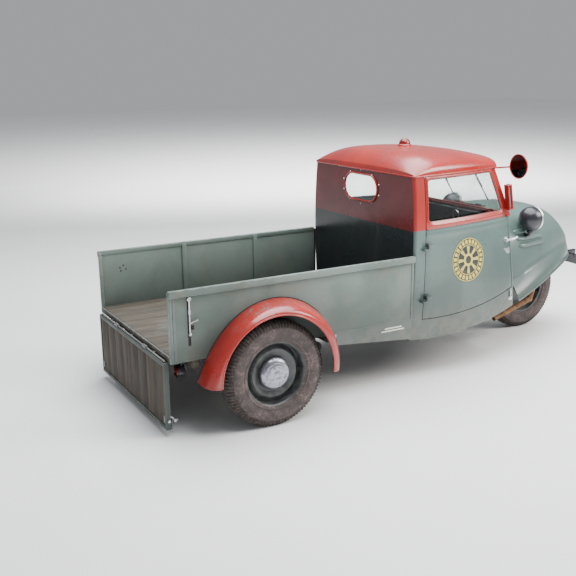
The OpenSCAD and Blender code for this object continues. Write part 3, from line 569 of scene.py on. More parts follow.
M = {
    "cab": two_tone_paint("cab_paint", BELT, GREEN, GREEN_DEEP),
    # rear wall: slate paint below the line, and above it red darkened as painted shade
    "wall": two_tone_paint("wall_paint_and_shade", BELT - 0.007, SLATE, (0.008, 0.012, 0.015), SHADED_WALL_RED,
                           (0.105, 0.007, 0.009)),
    "green": one_colour_paint("hood_green", GREEN, GREEN_DEEP, PRIMER, 0.4),
    "skirt": one_colour_paint("skirt_green", (0.120, 0.170, 0.155), (0.082, 0.122, 0.110), PRIMER, 0.7),
    "red": one_colour_paint("red_paint", RED, RED_DEEP, PRIMER, 0.4, (0.22, 0.34), 0.2, 0.4),
    "fender": fender_paint(),
    "bed": bed_paint(),
    "rail": rail_paint(),
    "black": dark_paint(),
    # near-black for seams, bolts and undersides, and as painted shade in door gaps, under the bed rails and
    # behind the latches
    "seam_and_shade": dark_paint("seam_and_shade_black", (0.008, 0.009, 0.010), 0.7),
    "lamp": gloss_black(),
    "steel": metal("bright_steel", (0.66, 0.68, 0.70), (0.30, 0.29, 0.27)),
    "hubcap": metal("hubcap_steel", (0.33, 0.34, 0.38), (0.14, 0.14, 0.16), 0.30, 0.75, 55),
    "zinc": metal("dull_zinc", (0.42, 0.43, 0.42), (0.22, 0.20, 0.17), 0.45, 0.6, 40),
    "cast": cast_metal(),
    "rust": rusty(),
    "tyre": rubber(),
    "tread": tread_rubber(),
    "rubber": plain_rubber(),
    "rim": rim_paint(),
    "glass": clear_glass(),
    "lens": clear_glass("lamp_lens", (0.95, 0.96, 0.96)),
    "mirror": metal("mirror_silver", (0.55, 0.58, 0.60), (0.20, 0.21, 0.22), 0.04, 0.25, 14),
    "red_lens": red_glass(),
    "leather": leather(),
    "bakelite": bakelite(),
    "lining": lining(),
    "floor": studio_floor(),
    "sign_yellow": flat_enamel("sign_yellow", (0.66, 0.55, 0.13), (0.36, 0.34, 0.14)),
    "sign_black": flat_enamel("sign_black", (0.022, 0.024, 0.020), (0.085, 0.095, 0.070)),
    "badge": flat_enamel("badge_cream", (0.62, 0.62, 0.54), (0.33, 0.37, 0.33)),
    "planks": timber("bed_planks", "X", "Y", 2 * (BED_HW - SHEET - 0.001) / 9, -(BED_HW - SHEET - 0.001),
                     (0.135, 0.112, 0.085), (0.048, 0.040, 0.030), (0.110, 0.112, 0.100)),
    "gate_wood": timber("gate_timber", "Z", "Y", 1.192 / 8, -0.596,
                     (0.082, 0.056, 0.034), (0.026, 0.019, 0.013), (0.060, 0.050, 0.036)),
    # rear-view mirror face: near-black, a painted dark reflection
    "mirror_dark_reflection": metal("mirror_painted_dark_reflection", (0.030, 0.032, 0.034), (0.012, 0.013, 0.014), 0.05, 0.2, 9),
    # tailgate frame: its green-grey paint darkened as painted shade
    "gate_shaded": dark_paint("gate_shaded_green", (0.050, 0.064, 0.058), 0.55),
    "gate_edge": one_colour_paint("gate_edge_grey", (0.26, 0.28, 0.275), (0.17, 0.19, 0.185), PRIMER, 0.9,
                                  (0.4, 0.55), 0.2),
    "arm": flat_enamel("trafficator_grey", (0.34, 0.35, 0.36), (0.22, 0.20, 0.18)),
}


# ---------- Mesh building ----------


class Shape:
    """Faces gathered into one piece. Every solid that is added is closed."""

    def __init__(self):
        self.bm = bmesh.new()

    def points(self, rows):
        return [[self.bm.verts.new(p) for p in row] for row in rows]

    def face(self, corners, slot):
        if len(set(corners)) > 2:
            self.bm.faces.new(corners).material_index = slot

    def skin(self, rows, slot, wrap_rows=False, wrap_columns=False):
        n, m = len(rows), len(rows[0])
        for i in range(n if wrap_rows else n - 1):
            for j in range(m if wrap_columns else m - 1):
                a, b = rows[i], rows[(i + 1) % n]
                self.face([a[j], b[j], b[(j + 1) % m], a[(j + 1) % m]], slot)

    def sheet(self, outer, inner, slot=0, inner_slot=0):
        """A closed sheet between two grids of the same size."""
        a, b = self.points(outer), self.points(inner)
        self.skin(a, slot)
        self.skin([row[::-1] for row in b], inner_slot)
        rim_a = a[0] + [r[-1] for r in a[1:]] + a[-1][-2::-1] + [r[0] for r in a[-2:0:-1]]
        rim_b = b[0] + [r[-1] for r in b[1:]] + b[-1][-2::-1] + [r[0] for r in b[-2:0:-1]]
        self.skin([rim_b, rim_a], slot, wrap_columns=True)
        return self

    def ring_sheet(self, outer, inner, slot=0, inner_slot=0):
        """A closed sheet between two grids whose rows are closed loops."""
        a, b = self.points(outer), self.points(inner)
        self.skin(a, slot, wrap_columns=True)
        self.skin([row[::-1] for row in b], inner_slot, wrap_columns=True)
        self.skin([b[0], a[0]], slot, wrap_columns=True)
        self.skin([a[-1], b[-1]], slot, wrap_columns=True)
        return self

    def box(self, low, high, bevel=0.002, slot=0, place=None):
        size = Vector(high) - Vector(low)
        centre = (Vector(high) + Vector(low)) / 2
        matrix = (place or Matrix.Identity(4)) @ Matrix.LocRotScale(centre, None, size)
        made = bmesh.ops.create_cube(self.bm, size=1, matrix=matrix)["verts"]
        edges = list({e for v in made for e in v.link_edges})
        faces = set({f for v in made for f in v.link_faces})
        offset = min(bevel, 0.45 * min(abs(c) for c in size))
        new = bmesh.ops.bevel(self.bm, geom=edges, offset=offset, segments=2, affect="EDGES", profile=0.5)
        for f in [*new["faces"], *(f for f in faces if f.is_valid)]:
            f.material_index = slot
        return self

    def tube(self, path, radius, sides=12, slot=0, closed=False):
        """A round bar swept along a path; radius is a number or one number for each point."""
        path = [Vector(p) for p in path]
        n = len(path)
        radii = [radius] * n if isinstance(radius, (int, float)) else radius
        rings, up = [], None
        for i, p in enumerate(path):
            ahead = path[(i + 1) % n] if closed or i < n - 1 else p
            behind = path[i - 1] if closed or i else p
            along = (ahead - behind).normalized()
            if up is None:
                up = along.orthogonal().normalized()
            up = (up - along * up.dot(along)).normalized()
            across = along.cross(up)
            rings.append([
                p + radii[i] * (math.cos(a) * up + math.sin(a) * across)
                for a in (math.tau * j / sides for j in range(sides))
            ])
        verts = self.points(rings)
        self.skin(verts, slot, wrap_rows=closed, wrap_columns=True)
        if not closed:
            self.face(verts[0][::-1], slot)
            self.face(verts[-1], slot)
        return self

    def lathe(self, profile, place, turns=64, slot=0, slots=None, closed=False):
        """A profile of (radius, height) points turned round the local Z axis of place."""
        def spot(r, h, a):
            return place @ Vector((r * math.cos(a), r * math.sin(a), h))

        columns = []
        for r, h in profile:
            if r < 1e-6:
                columns.append([self.bm.verts.new(spot(0, h, 0))] * turns)
            else:
                columns.append([self.bm.verts.new(spot(r, h, math.tau * i / turns)) for i in range(turns)])
        count = len(columns) if closed else len(columns) - 1
        for k in range(count):
            a, b = columns[k], columns[(k + 1) % len(columns)]
            used = slots[k] if slots else slot
            for i in range(turns):
                corners = [a[i], a[(i + 1) % turns], b[(i + 1) % turns], b[i]]
                self.face(list(dict.fromkeys(corners)), used)
        return self

    def cylinder(self, start, end, radius, slot=0, edge=0.0015, turns=32):
        """A round bar with small chamfers."""
        start, end = Vector(start), Vector(end)
        length = (end - start).length
        edge = min(edge, 0.3 * length, 0.4 * radius)
        profile = [(0, 0), (radius - edge, 0), (radius, edge), (radius, length - edge),
                   (radius - edge, length), (0, length)]
        return self.lathe(profile, axis_place(start, end - start), turns, slot)

    def piece(self, name, body, materials, slot_name=None, replaced=(), sharp=35):
        bmesh.ops.recalc_face_normals(self.bm, faces=self.bm.faces)
        mesh = bpy.data.meshes.new(name)
        self.bm.to_mesh(mesh)
        self.bm.free()
        for key in materials:
            mesh.materials.append(M[key])
        mesh.polygons.foreach_set("use_smooth", [True] * len(mesh.polygons))
        mesh.set_sharp_from_angle(angle=math.radians(sharp))
        piece = bpy.data.objects.new(name, mesh)
        scene.collection.objects.link(piece)
        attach(piece, body)
        if replaced:
            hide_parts(*replaced)
        return piece


def axis_place(origin, direction):
    """A placement whose local Z axis points along direction."""
    turn = Vector(direction).to_track_quat("Z", "Y").to_matrix().to_4x4()
    return Matrix.Translation(Vector(origin)) @ turn


def mirrored(rows, side):
    return [[(p[0], side * p[1], p[2]) for p in row] for row in rows]


def flip(p, side):
    return (p[0], side * p[1], p[2])


# ---------- Cab ----------

CORNER_R = 0.018


def post_section(z, t):
    """Plan of the rear corner post, from the rear wall round the corner to the door opening."""
    r, x0 = CORNER_R, CAB_X - SHEET
    y = side_y(CAB_X, z)
    arc = [(x0 + r - (r - t) * cos_deg(a), y - r + (r - t) * sin_deg(a)) for a in steps(0, 90, 8)]
    start = [(x0 + t, y - r - 0.0032)]
    side = [(x, side_y(x, z) - t) for x in steps(x0 + r + 0.012, DOOR_X0 - GAP - 0.002, 5)]
    return start + arc + side


def cab_posts(shape):
    for side in SIDES.values():
        zs = steps(sill_z(CAB_X), EAVES, 40)
        grids = [[[(x, side * y, z) for x, y in post_section(z, t)] for z in zs] for t in (0, SHEET)]
        shape.sheet(*grids, 0, 1)
        # painted shade: the flange and seal behind the door gap are black so that the gap looks dark; the
        # seal also stands for a rubber door seal
        flange = [[(DOOR_X0 - GAP - 0.005, side * (side_y(DOOR_X0, z) - d),
                    z) for d in (0.001, 0.030)] for z in zs]
        back = [[(p[0] - 0.003, p[1], p[2]) for p in row] for row in flange]
        shape.sheet(flange, back, 3, 3)
        seal = [[(x, side * (side_y(x, z) - 0.009),
                  z) for x in (DOOR_X0 - GAP - 0.006, DOOR_X0 + 0.004)] for z in zs
                if z > door_z(DOOR_X0) - 0.01]
        shape.sheet(seal, [[(p[0], p[1] - side * 0.002, p[2]) for p in row] for row in seal], 3, 3)


def cab_sills(shape):
    for side in SIDES.values():
        xs = steps(DOOR_X0 - GAP - 0.004, DOOR_X1 + GAP, 40)

        def grid(t, drop=0.0, side=side, xs=xs):
            return [
                [(x, side * (side_y(x, z) - t), z) for z in steps(sill_z(x), door_z(x) - GAP - drop, 6)]
                for x in xs
            ]
        shape.sheet(grid(0), grid(SHEET), 0, 1)
        # painted shade: the ledge and seal under the door gap are black so that the gap looks dark; the
        # seal also stands for a rubber door seal
        ledge = [[(x, side * (side_y(x, door_z(x)) - d),
                   door_z(x) - GAP - 0.002) for d in (0.001, 0.026)] for x in xs]
        under = [[(p[0], p[1], p[2] - 0.003) for p in row] for row in ledge]
        shape.sheet(ledge, under, 3, 3)
        seal = [[(x, side * (side_y(x, z) - 0.009),
                  z) for z in (door_z(x) - GAP - 0.004, door_z(x) + 0.004)] for x in xs]
        shape.sheet(seal, [[(p[0], p[1] - side * 0.002, p[2]) for p in row] for row in seal], 3, 3)


def front_plan(z, t):
    """Plan of the cab's front corner, from the door opening round to the centre line."""
    r, xe = 0.022, CAB_FRONT - 0.022
    y = side_y(xe, z)
    start = [(x, side_y(x, z) - t) for x in (DOOR_X1 + GAP, xe - 0.004)]
    arc = [(xe + (r - t) * sin_deg(a), y - r + (r - t) * cos_deg(a)) for a in steps(0, 90, 8)]
    across = [(CAB_FRONT - t, (y - r) * (1 - u)) for u in steps(0.08, 1, 10)]
    return start + arc + across


def cab_front(shape):
    for side in SIDES.values():
        zs = steps(sill_z(CAB_FRONT - 0.020), BELT, 24)
        grids = [[[(x, side * y, z) for x, y in front_plan(z, t)] for z in zs] for t in (0, SHEET)]
        shape.sheet(*grids, 0, 1)


def cab_body():
    shape = Shape()
    cab_posts(shape)
    cab_sills(shape)
    cab_front(shape)
    for side in SIDES.values():
        for z in HINGE_ZS:
            shape.box(*handed(side, (DOOR_X0 - 0.037, side_y(DOOR_X0, z) - 0.004, z - 0.032),
                              (DOOR_X0 - 0.001, 0.686, z - 0.018)), 0.003, 2)
            pin = (HINGE_X, side * HINGE_Y)
            shape.cylinder((*pin, z - 0.028), (*pin, z + 0.020), 0.004, 2)
        shape.box(*handed(side, (CAB_FRONT - 0.002, 0.090, 1.072), (HOOD_PIN_X + 0.008, 0.098, 1.090)),
                  0.002, 2)
        shape.box(*handed(side, (HOOD_PIN_X - 0.008, 0.090, 1.080),
                          (HOOD_PIN_X + 0.008, 0.098, HOOD_PIN_Z + 0.008)), 0.002, 2)
        shape.cylinder((HOOD_PIN_X, side * 0.092, HOOD_PIN_Z), (HOOD_PIN_X, side * 0.156, HOOD_PIN_Z),
                       0.005, 2)
    shape.piece("cab_body", "root", ["cab", "lining", "black", "seam_and_shade"], "green_paint", ["cab_shell"])


def ordered(a, b):
    """The lowest and highest corners of the box between two corners."""
    return tuple(map(min, a, b)), tuple(map(max, a, b))


def handed(side, a, b):
    """The same for two corners that are given on the left and belong on one side."""
    return ordered(flip(a, side), flip(b, side))


def stadium(half_w, half_h, n=12):
    """Loop of a slot with round ends, centred on the origin, as (y, z) points."""
    straight = half_w - half_h
    loop = []
    for side, start in ((1, -90), (-1, 90)):
        loop += [(side * straight + half_h * cos_deg(start + a),
                  half_h * sin_deg(start + a)) for a in steps(0, 180, n)]
    return loop


WINDOW_Z, WINDOW_HW, WINDOW_HH = 1.326, 0.200, 0.090


def back_wall():
    """Rear wall, round the opening for its window."""
    shape = Shape()
    x0, x1 = CAB_X - SHEET, CAB_X
    slot_loop = stadium(WINDOW_HW, WINDOW_HH, 14)
    box_loop = [stretch_to_box(y, z, 0.300, 0.130) for y, z in slot_loop]
    rings = [[(blend(a[0], b[0], t), WINDOW_Z + blend(a[1], b[1], t)) for a, b in zip(slot_loop, box_loop)]
             for t in (0, 0.5, 1)]
    shape.ring_sheet([[(x0, y, z) for y, z in r] for r in rings],
                     [[(x1, y, z) for y, z in r] for r in rings], 0, 1)
    edge = CORNER_R + 0.004

    def panel(y0, y1, zs):
        grid = [[(x0, blend(y0(z), y1(z), u), z) for u in steps(0, 1, 8)] for z in zs]
        shape.sheet(grid, [[(x1, p[1], p[2]) for p in row] for row in grid], 0, 1)

    half, top, low = 0.300, WINDOW_Z + 0.130, WINDOW_Z - 0.130
    panel(lambda z: -(rear_hw(z) - edge), lambda z: rear_hw(z) - edge, steps(BED_BOTTOM, low, 16))
    panel(lambda z: -(rear_hw(z) - edge), lambda z: -half, steps(low, top, 4))
    panel(lambda z: half, lambda z: rear_hw(z) - edge, steps(low, top, 4))
    panel(lambda z: -(rear_hw(z) - edge), lambda z: rear_hw(z) - edge, [top, EAVES])
    shape.piece("rear_wall", "root", ["wall", "lining"], "red_paint", ["cab_back_wall"])


def stretch_to_box(y, z, half_w, half_h):
    """The point of a rectangle's edge in the direction of (y, z)."""
    grow = min(half_w / abs(y) if y else 1e9, half_h / abs(z) if z else 1e9)
    return (y * grow, z * grow)


def rear_window():
    """Pressed window frame with its clamping screws."""
    shape = Shape()
    x = CAB_X - SHEET
    grow, lift = 0.008, 0.0035
    path = [(x - lift, y, WINDOW_Z + z) for y, z in stadium(WINDOW_HW + grow, WINDOW_HH + grow, 14)]
    shape.tube(path, 0.0075, 10, 0, closed=True)
    for k in range(10):
        a = 36 * k + 18
        y, z = 0.235 * cos_deg(a), 0.125 * sin_deg(a)
        shape.lathe([(0, 0.005), (0.003, 0.0045), (0.0055, 0.002), (0.006, 0)],
                    axis_place((x, y, WINDOW_Z + z), (-1, 0, 0)), 16, 1)
    shape.piece("rear_window_trim", "root", ["red", "steel"], "red_paint", ["rear_window_frame"])


def roof():
    """Crowned roof panel, with a rolled drip rail round its lower edge."""
    shape = Shape()
    x0, x1 = CAB_X - SHEET, CAB_FRONT - 0.115
    angles = steps(-90, 90, 56)
    xs = [x0 + 0.10 * (i / 12) ** 2 for i in range(13)] + steps(x0 + 0.13, x1, 30)

    def grid(t):
        rows = [[roof_point(min(max(x, x0 + t), x1 - t), a, t) for a in angles] for x in xs]
        first = [(x0 + t, p[1], EAVES + 0.4 * t) for p in rows[0]]
        last = [(x1 - t, p[1], EAVES + 0.008) for p in rows[-1]]
        return [first, *rows, last]

    shape.sheet(grid(0), grid(SHEET), 0, 1)
    rail = [(x, -(side_y(x, EAVES) + 0.003), EAVES - 0.002) for x in steps(x1, x0 + 0.02, 24)]
    y = side_y(CAB_X, EAVES)
    rail += [(x0 + 0.018 - 0.020 * sin_deg(a), -(y - 0.018 + 0.021 * cos_deg(a)),
              EAVES - 0.002) for a in steps(15, 90, 5)]
    rail += [flip(p, -1) for p in rail[::-1]]
    shape.tube(rail, 0.0055, 10)
    shape.piece("roof_panel", "root", ["red", "lining"], "red_paint", ["cab_roof"], 40)


def windscreen_trim():
    """Rubber bead round the windscreen glass."""
    shape = Shape()
    slope = Vector((-RAKE, 0, 1)).normalized()
    out = Vector((1, 0, RAKE)).normalized()
    base = Vector((SCREEN_X0, 0, BELT)) - 0.0185 * out
    length = 0.404
    loop = []
    for sy, v, a0 in ((1, 0.056, -90), (1, length - 0.058, 0), (-1, length - 0.058, 90), (-1, 0.056, 180)):
        hw = (0.514 if v < 0.1 else 0.474) - 0.060
        for a in steps(a0, a0 + 90, 5):
            across, up = sy * hw + 0.029 * cos_deg(a), v + 0.029 * sin_deg(a)
            loop.append(base + slope * up + Vector((0, across, 0)))
    shape.tube(loop, 0.006, 8, closed=True)
    shape.piece("windscreen_seal", "root", ["rubber"])


# ---------- Doors ----------

DOOR_SPLIT = BELT - 0.004


def door_skin(side):
    """Lower door panel with a fold under the belt line, and its inner card."""
    shape = Shape()
    rows_b = [0, 0.006, 0.03] + steps(0.08, 0.92, 18) + [0.955, 0.975, 0.99, 1.0]
    rows_a = [0, 0.004, 0.02] + steps(0.06, 0.94, 26) + [0.98, 0.996, 1.0]

    def bulge(a, b):
        """Rolled edges, and the soft shoulder just below the belt line."""
        edge = min(a, 1 - a, b) / 0.02
        roll = -0.0025 * max(0, 1 - edge) ** 2
        shoulder = 0.006 * math.exp(-(((b - 0.955) / 0.028) ** 2))
        return roll + shoulder

    def grid(t):
        rows = []
        for a in rows_a:
            row = []
            for b in rows_b:
                z = blend(door_z(blend(DOOR_X0, DOOR_X1, a)), DOOR_SPLIT, b)
                x = blend(DOOR_X0, door_front_x(z), a)
                row.append((x, side * (side_y(x, z) + bulge(a, b) - t), z))
            rows.append(row)
        return rows

    shape.sheet(grid(0), grid(SHEET), 0, 1)
    for z in HINGE_ZS:
        knuckle = (HINGE_X, side * HINGE_Y)
        shape.cylinder((*knuckle, z - 0.014), (*knuckle, z + 0.014), 0.009, 2)
        shape.box(*handed(side, (DOOR_X0 + 0.002, side_y(DOOR_X0, z) - 0.002, z - 0.014),
                          (DOOR_X0 + 0.041, 0.682, z + 0.014)), 0.002, 2)
    return shape


def front_of_pane(z):
    return screen_x(z) - POST_W - 0.030


def rounded_loop(corners, radius, n=6):
    """A closed loop of (x, z) points through convex corners, each rounded by the same radius."""
    loop = []
    count = len(corners)
    for i, c in enumerate(corners):
        p, before, after = Vector(c), Vector(corners[i - 1]), Vector(corners[(i + 1) % count])
        u, v = (before - p).normalized(), (after - p).normalized()
        half = u.angle(v) / 2
        reach = radius / math.tan(half)
        centre = p + (u + v).normalized() * (radius / math.sin(half))
        start, end = p + u * reach - centre, p + v * reach - centre
        for k in range(n + 1):
            w = start.lerp(end, k / n).normalized() * radius
            loop.append(tuple(centre + w))
    return loop


def pane_corners(grow):
    x0 = DOOR_X0 + 0.030 - grow
    return [(x0, PANE_Z0 - grow), (front_of_pane(PANE_Z0) + grow, PANE_Z0 - grow),
            (front_of_pane(PANE_Z1) + grow, PANE_Z1 + grow), (x0, PANE_Z1 + grow)]


def frame_corners():
    """Outer outline of the door's window surround."""
    z0, z1 = DOOR_SPLIT + 0.0005, DOOR_TOP
    return [(DOOR_X0, z0), (door_front_x(z0), z0), (door_front_x(z1), z1), (DOOR_X0, z1)]


def window_surround(shape, side):
    """Pressed window surround: flat border, raised bead, step down and a rolled inner lip."""
    outer = dense_loop(rounded_loop(frame_corners(), 0.012, 6))
    inner = dense_loop(rounded_loop(pane_corners(0.0), 0.020, 6))
    stations = [(0, -0.0022), (0.02, 0), (0.22, 0.0005), (0.34, 0.0042), (0.48, 0.0050), (0.60, 0.0035),
                (0.70, -0.0010), (0.88, -0.0040), (0.97, -0.0055), (1.0, -0.0075)]

    def grid(t):
        rows = []
        for s, lift in stations:
            row = []
            for (x0, z0), (x1, z1) in zip(outer, inner):
                x, z = blend(x0, x1, s), blend(z0, z1, s)
                row.append((x, side * (side_y(x, z) + lift - t), z))
            rows.append(row)
        return rows

    shape.ring_sheet(grid(0), grid(SHEET), 0, 1)


def dense_loop(loop, count=160):
    """The loop sampled at even angles about its middle, starting at the same direction each time."""
    cz = (PANE_Z0 + PANE_Z1) / 2
    cx = (DOOR_X0 + 0.030 + front_of_pane(cz)) / 2
    found = []
    for k in range(count):
        a = math.tau * (k + 0.5) / count
        found.append(ray_hit(loop, cx, cz, 1.6 * math.cos(a), math.sin(a)))
    return found


def ray_hit(loop, cx, cz, dx, dz):
    """Where a ray from (cx, cz) leaves a convex loop."""
    best = None
    for i, p in enumerate(loop):
        q = loop[(i + 1) % len(loop)]
        ex, ez = q[0] - p[0], q[1] - p[1]
        det = dx * ez - dz * ex
        if abs(det) < 1e-12:
            continue
        t = ((p[0] - cx) * ez - (p[1] - cz) * ex) / det
        s = ((p[0] - cx) * dz - (p[1] - cz) * dx) / det
        if t > 0 and -1e-6 <= s <= 1 + 1e-6 and (best is None or t > best):
            best = t
    return (cx + best * dx, cz + best * dz)


def door(side_name, side):
    shape = door_skin(side)
    window_surround(shape, side)
    shape.piece(f"door_skin_{side_name}", f"door_{side_name}", ["cab", "lining", "black"],
                "green_paint", [f"door_{side_name}"])
    seal = Shape()
    loop = [(x, side * (side_y(x, z) - 0.0075), z)
            for x, z in dense_loop(rounded_loop(pane_corners(0.001), 0.020, 6))]
    seal.tube(loop, 0.0035, 8, closed=True)
    seal.piece(f"window_seal_{side_name}", f"door_{side_name}", ["rubber"])


def door_details(side_name, side):
    """Lock plate behind the lever, and a patch of painted shade below it."""
    body = f"door_{side_name}"
    plate = Shape()
    x, z = HANDLE_X, HANDLE_Z
    y = side_y(x, z)
    plate.box(*handed(side, (x - 0.020, y - 0.002, z - 0.034), (x + 0.016, y + 0.0022, z + 0.024)), 0.002)
    # painted shade: the patch below the lever stands for the shade under the handle
    plate.box(*handed(side, (x - 0.052, side_y(x, 0.84) - 0.002, 0.822),
                      (x + 0.030, side_y(x, 0.84) + 0.0015, 0.866)), 0.001, 1)
    plate.piece(f"lock_plate_and_shade_{side_name}", body, ["zinc", "skirt"], "bright_steel")


def door_lever(side_name, side):
    """Cranked lever handle on a round boss."""
    boss_x, boss_z, y = HANDLE_X, HANDLE_Z, side_y(HANDLE_X, HANDLE_Z)
    shape = Shape()
    shape.lathe([(0, 0.026), (0.009, 0.0255), (0.012, 0.022), (0.0125, 0.010), (0.016, 0.006),
                 (0.017, 0.003), (0, 0.003)],
                axis_place((boss_x, side * y, boss_z), (0, side, 0)), 28)
    path, radii = [], []
    for t in steps(0, 1, 14):
        path.append((boss_x + 0.092 * t, side * (y + 0.020 + 0.004 * t + 0.003 * sin_deg(180 * t)),
                     boss_z + 0.012 * t * t))
        radii.append(0.0065 + 0.0028 * sin_deg(180 * min(1, t * 1.1)) ** 2)
    shape.tube(path, radii, 14)
    tip = path[-1]
    ball = [(0.009 * sin_deg(a), 0.009 * cos_deg(a)) for a in steps(0, 180, 8)]
    shape.lathe(ball, axis_place(tip, (1, 0, 0)), 20)
    shape.piece(f"lever_{side_name}", f"handle_{side_name}", ["steel"], "bright_steel",
                [f"door_handle_{side_name}"])


def roundel(side_name, side):
    """Generic painted roundel: a dark disc with a yellow ring of plain ticks and a spoked centre."""
    cx, cz, radius = 0.318, 0.837, 0.160
    lift = 0.0008

    def on_door(r, a, up):
        x, z = cx + r * cos_deg(a), cz + r * sin_deg(a)
        return (x, side * (side_y(x, z) + up), z)

    def patch(shape, r0, r1, a0, a1, up, slot):
        n = max(2, int((a1 - a0) / 5))
        grid = [[on_door(r, a, up) for a in steps(a0, a1, n)] for r in steps(r0, r1, 2)]
        shape.sheet(grid, [[on_door(r, a, -0.0005) for a in steps(a0, a1, n)] for r in steps(r0, r1, 2)],
                    slot, slot)

    def band(shape, r0, r1, up, slot):
        loops = [[on_door(r, a, up) for a in steps(0, 360, 72)[:-1]] for r in steps(r0, r1, 2)]
        back = [[on_door(r, a, -0.0005) for a in steps(0, 360, 72)[:-1]] for r in steps(r0, r1, 2)]
        shape.ring_sheet(loops, back, slot, slot)

    shape = Shape()
    band(shape, 0.0005, radius, lift, 1)
    band(shape, radius - 0.009, radius - 0.003, 2 * lift, 0)
    ticks = 24
    for k in range(ticks):
        a = 360 / ticks * k
        patch(shape, radius - 0.044, radius - 0.016, a + 3, a + 13, 2 * lift, 0)
    band(shape, radius - 0.056, radius - 0.051, 2 * lift, 0)
    band(shape, 0.028, 0.046, 2 * lift, 0)
    for k in range(8):
        a = 45 * k
        patch(shape, 0.044, 0.098, a - 8, a + 8, 2 * lift, 0)
    shape.piece(f"roundel_{side_name}", f"door_{side_name}", ["sign_yellow", "sign_black"])


# ---------- Nose ----------


def hood():
    """One-piece hood: domed top, hollow sides and a thick rolled band along its lower edge."""
    shape = Shape()
    xs = steps(HOOD_X, HOOD_X + 0.66, 26) + steps(HOOD_X + 0.69, NOSE_X - 0.040,
                                                  14) + [NOSE_X - 0.028, NOSE_X - 0.018, NOSE_X - 0.010,
                                                         NOSE_X - 0.006]
    ks = steps(0, BAND_K, 12) + steps(BAND_K + 0.015, 1, 30)

    def ring(x, t):
        right = [flip(hood_point(x, k, t), -1) for k in ks]
        return right + [hood_point(x, k, t) for k in ks[-2::-1]]

    shape.sheet([ring(x, 0) for x in xs], [ring(x, SHEET) for x in xs], 0, 1)
    for side in SIDES.values():
        edge = [flip(hood_point(x, 0, -0.001), side) for x in xs[:-2]]
        shape.tube(edge, 0.007, 8)
        shape.cylinder((HOOD_PIN_X, side * 0.101, HOOD_PIN_Z), (HOOD_PIN_X, side * 0.154, HOOD_PIN_Z),
                       0.009, 2)
        shape.box(*handed(side, (HOOD_PIN_X, 0.101, HOOD_PIN_Z - 0.009),
                          (HOOD_PIN_X + 0.050, 0.154, HOOD_PIN_Z - 0.002)), 0.002, 2)
    shape.piece("hood_body", "hood", ["green", "seam_and_shade", "black"], "green_paint", ["hood_shell"], 42)


def louvres(side_name, side):
    """Three raised cooling ribs, one below the other, on the side of the hood."""
    shape = Shape()
    for i in range(3):
        x0, x1 = 0.965 + 0.012 * i, 1.290 + 0.014 * i
        z, half, rise = 0.935 - 0.052 * i, 0.017, 0.020

        def row(t, raised):
            x, swell = blend(x0, x1, t), min(1, 7 * t, 7 * (1 - t)) ** 0.5
            points = []
            for a in steps(0, 180, 10):
                h = z + half * cos_deg(a) * (0.4 + 0.6 * swell)
                up = rise * sin_deg(a) ** 0.8 * swell if raised else -0.002
                points.append((x, side * (hood_side_y(x, h) + up), h))
            return points

        ts = steps(0, 1, 26)
        shape.sheet([row(t, True) for t in ts], [row(t, False) for t in ts], 0, 0)
    shape.piece(f"louvres_{side_name}", "hood", ["green"], "green_paint", sharp=60)


def hood_catch(side_name, side):
    """Spring catch that holds the hood's lower corner to the cab."""
    shape = Shape()
    y = side * (side_y(CAB_FRONT - 0.03, 0.50) + 0.004)
    shape.box(*ordered((CAB_FRONT - 0.060, y - side * 0.004, 0.470),
                       (CAB_FRONT - 0.026, y + side * 0.003, 0.500)), 0.002)
    coil = [(CAB_FRONT - 0.046 + 0.006 * cos_deg(a), y + side * (0.006 + 0.006 * sin_deg(a)),
             0.500 + 0.045 * a / 2520)
            for a in range(0, 2521, 40)]
    shape.tube(coil, 0.0016, 6)
    shape.tube([(CAB_FRONT - 0.046, y + side * 0.006, 0.478),
                (CAB_FRONT - 0.046, y + side * 0.006, 0.560)], 0.0028, 8)
    shape.piece(f"hood_catch_{side_name}", "root", ["steel"], "bright_steel")


def bumper():
    """Curved front strip with a folded edge."""
    shape = Shape()
    bend_r, half = 0.900, 21
    centre = cad_high.x - bend_r
    profile = [(-0.008, 0.500), (0.000, 0.502), (0.0, 0.588), (-0.008, 0.590), (-0.012, 0.586),
               (-0.012, 0.504)]
    rows = [[(centre + (bend_r + dx) * cos_deg(a), (bend_r + dx) * sin_deg(a), z) for dx, z in profile]
            for a in steps(-half, half, 32)]
    verts = shape.points(rows)
    shape.skin(verts, 0, wrap_columns=True)
    shape.face(verts[0][::-1], 0)
    shape.face(verts[-1], 0)
    for side in SIDES.values():
        shape.box(*handed(side, (NOSE_X - 0.075, 0.088, 0.592), (cad_high.x - 0.006, 0.112, 0.630)), 0.003)
        shape.box(*handed(side, (cad_high.x - 0.020, 0.088, 0.560), (cad_high.x - 0.007, 0.112, 0.600)),
                  0.003)
        shape.cylinder((cad_high.x - 0.004, side * 0.100, 0.545),
                       (cad_high.x + 0.002, side * 0.100, 0.545), 0.009)
    shape.piece("bumper_bar", "hood", ["lamp"], "frame_black", ["front_bumper"])


lamp_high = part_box("headlamps")[1]
LAMP_R = 0.092
LAMP_X, LAMP_Y, LAMP_Z = lamp_high.x - 0.062, lamp_high.y - LAMP_R, lamp_high.z - LAMP_R


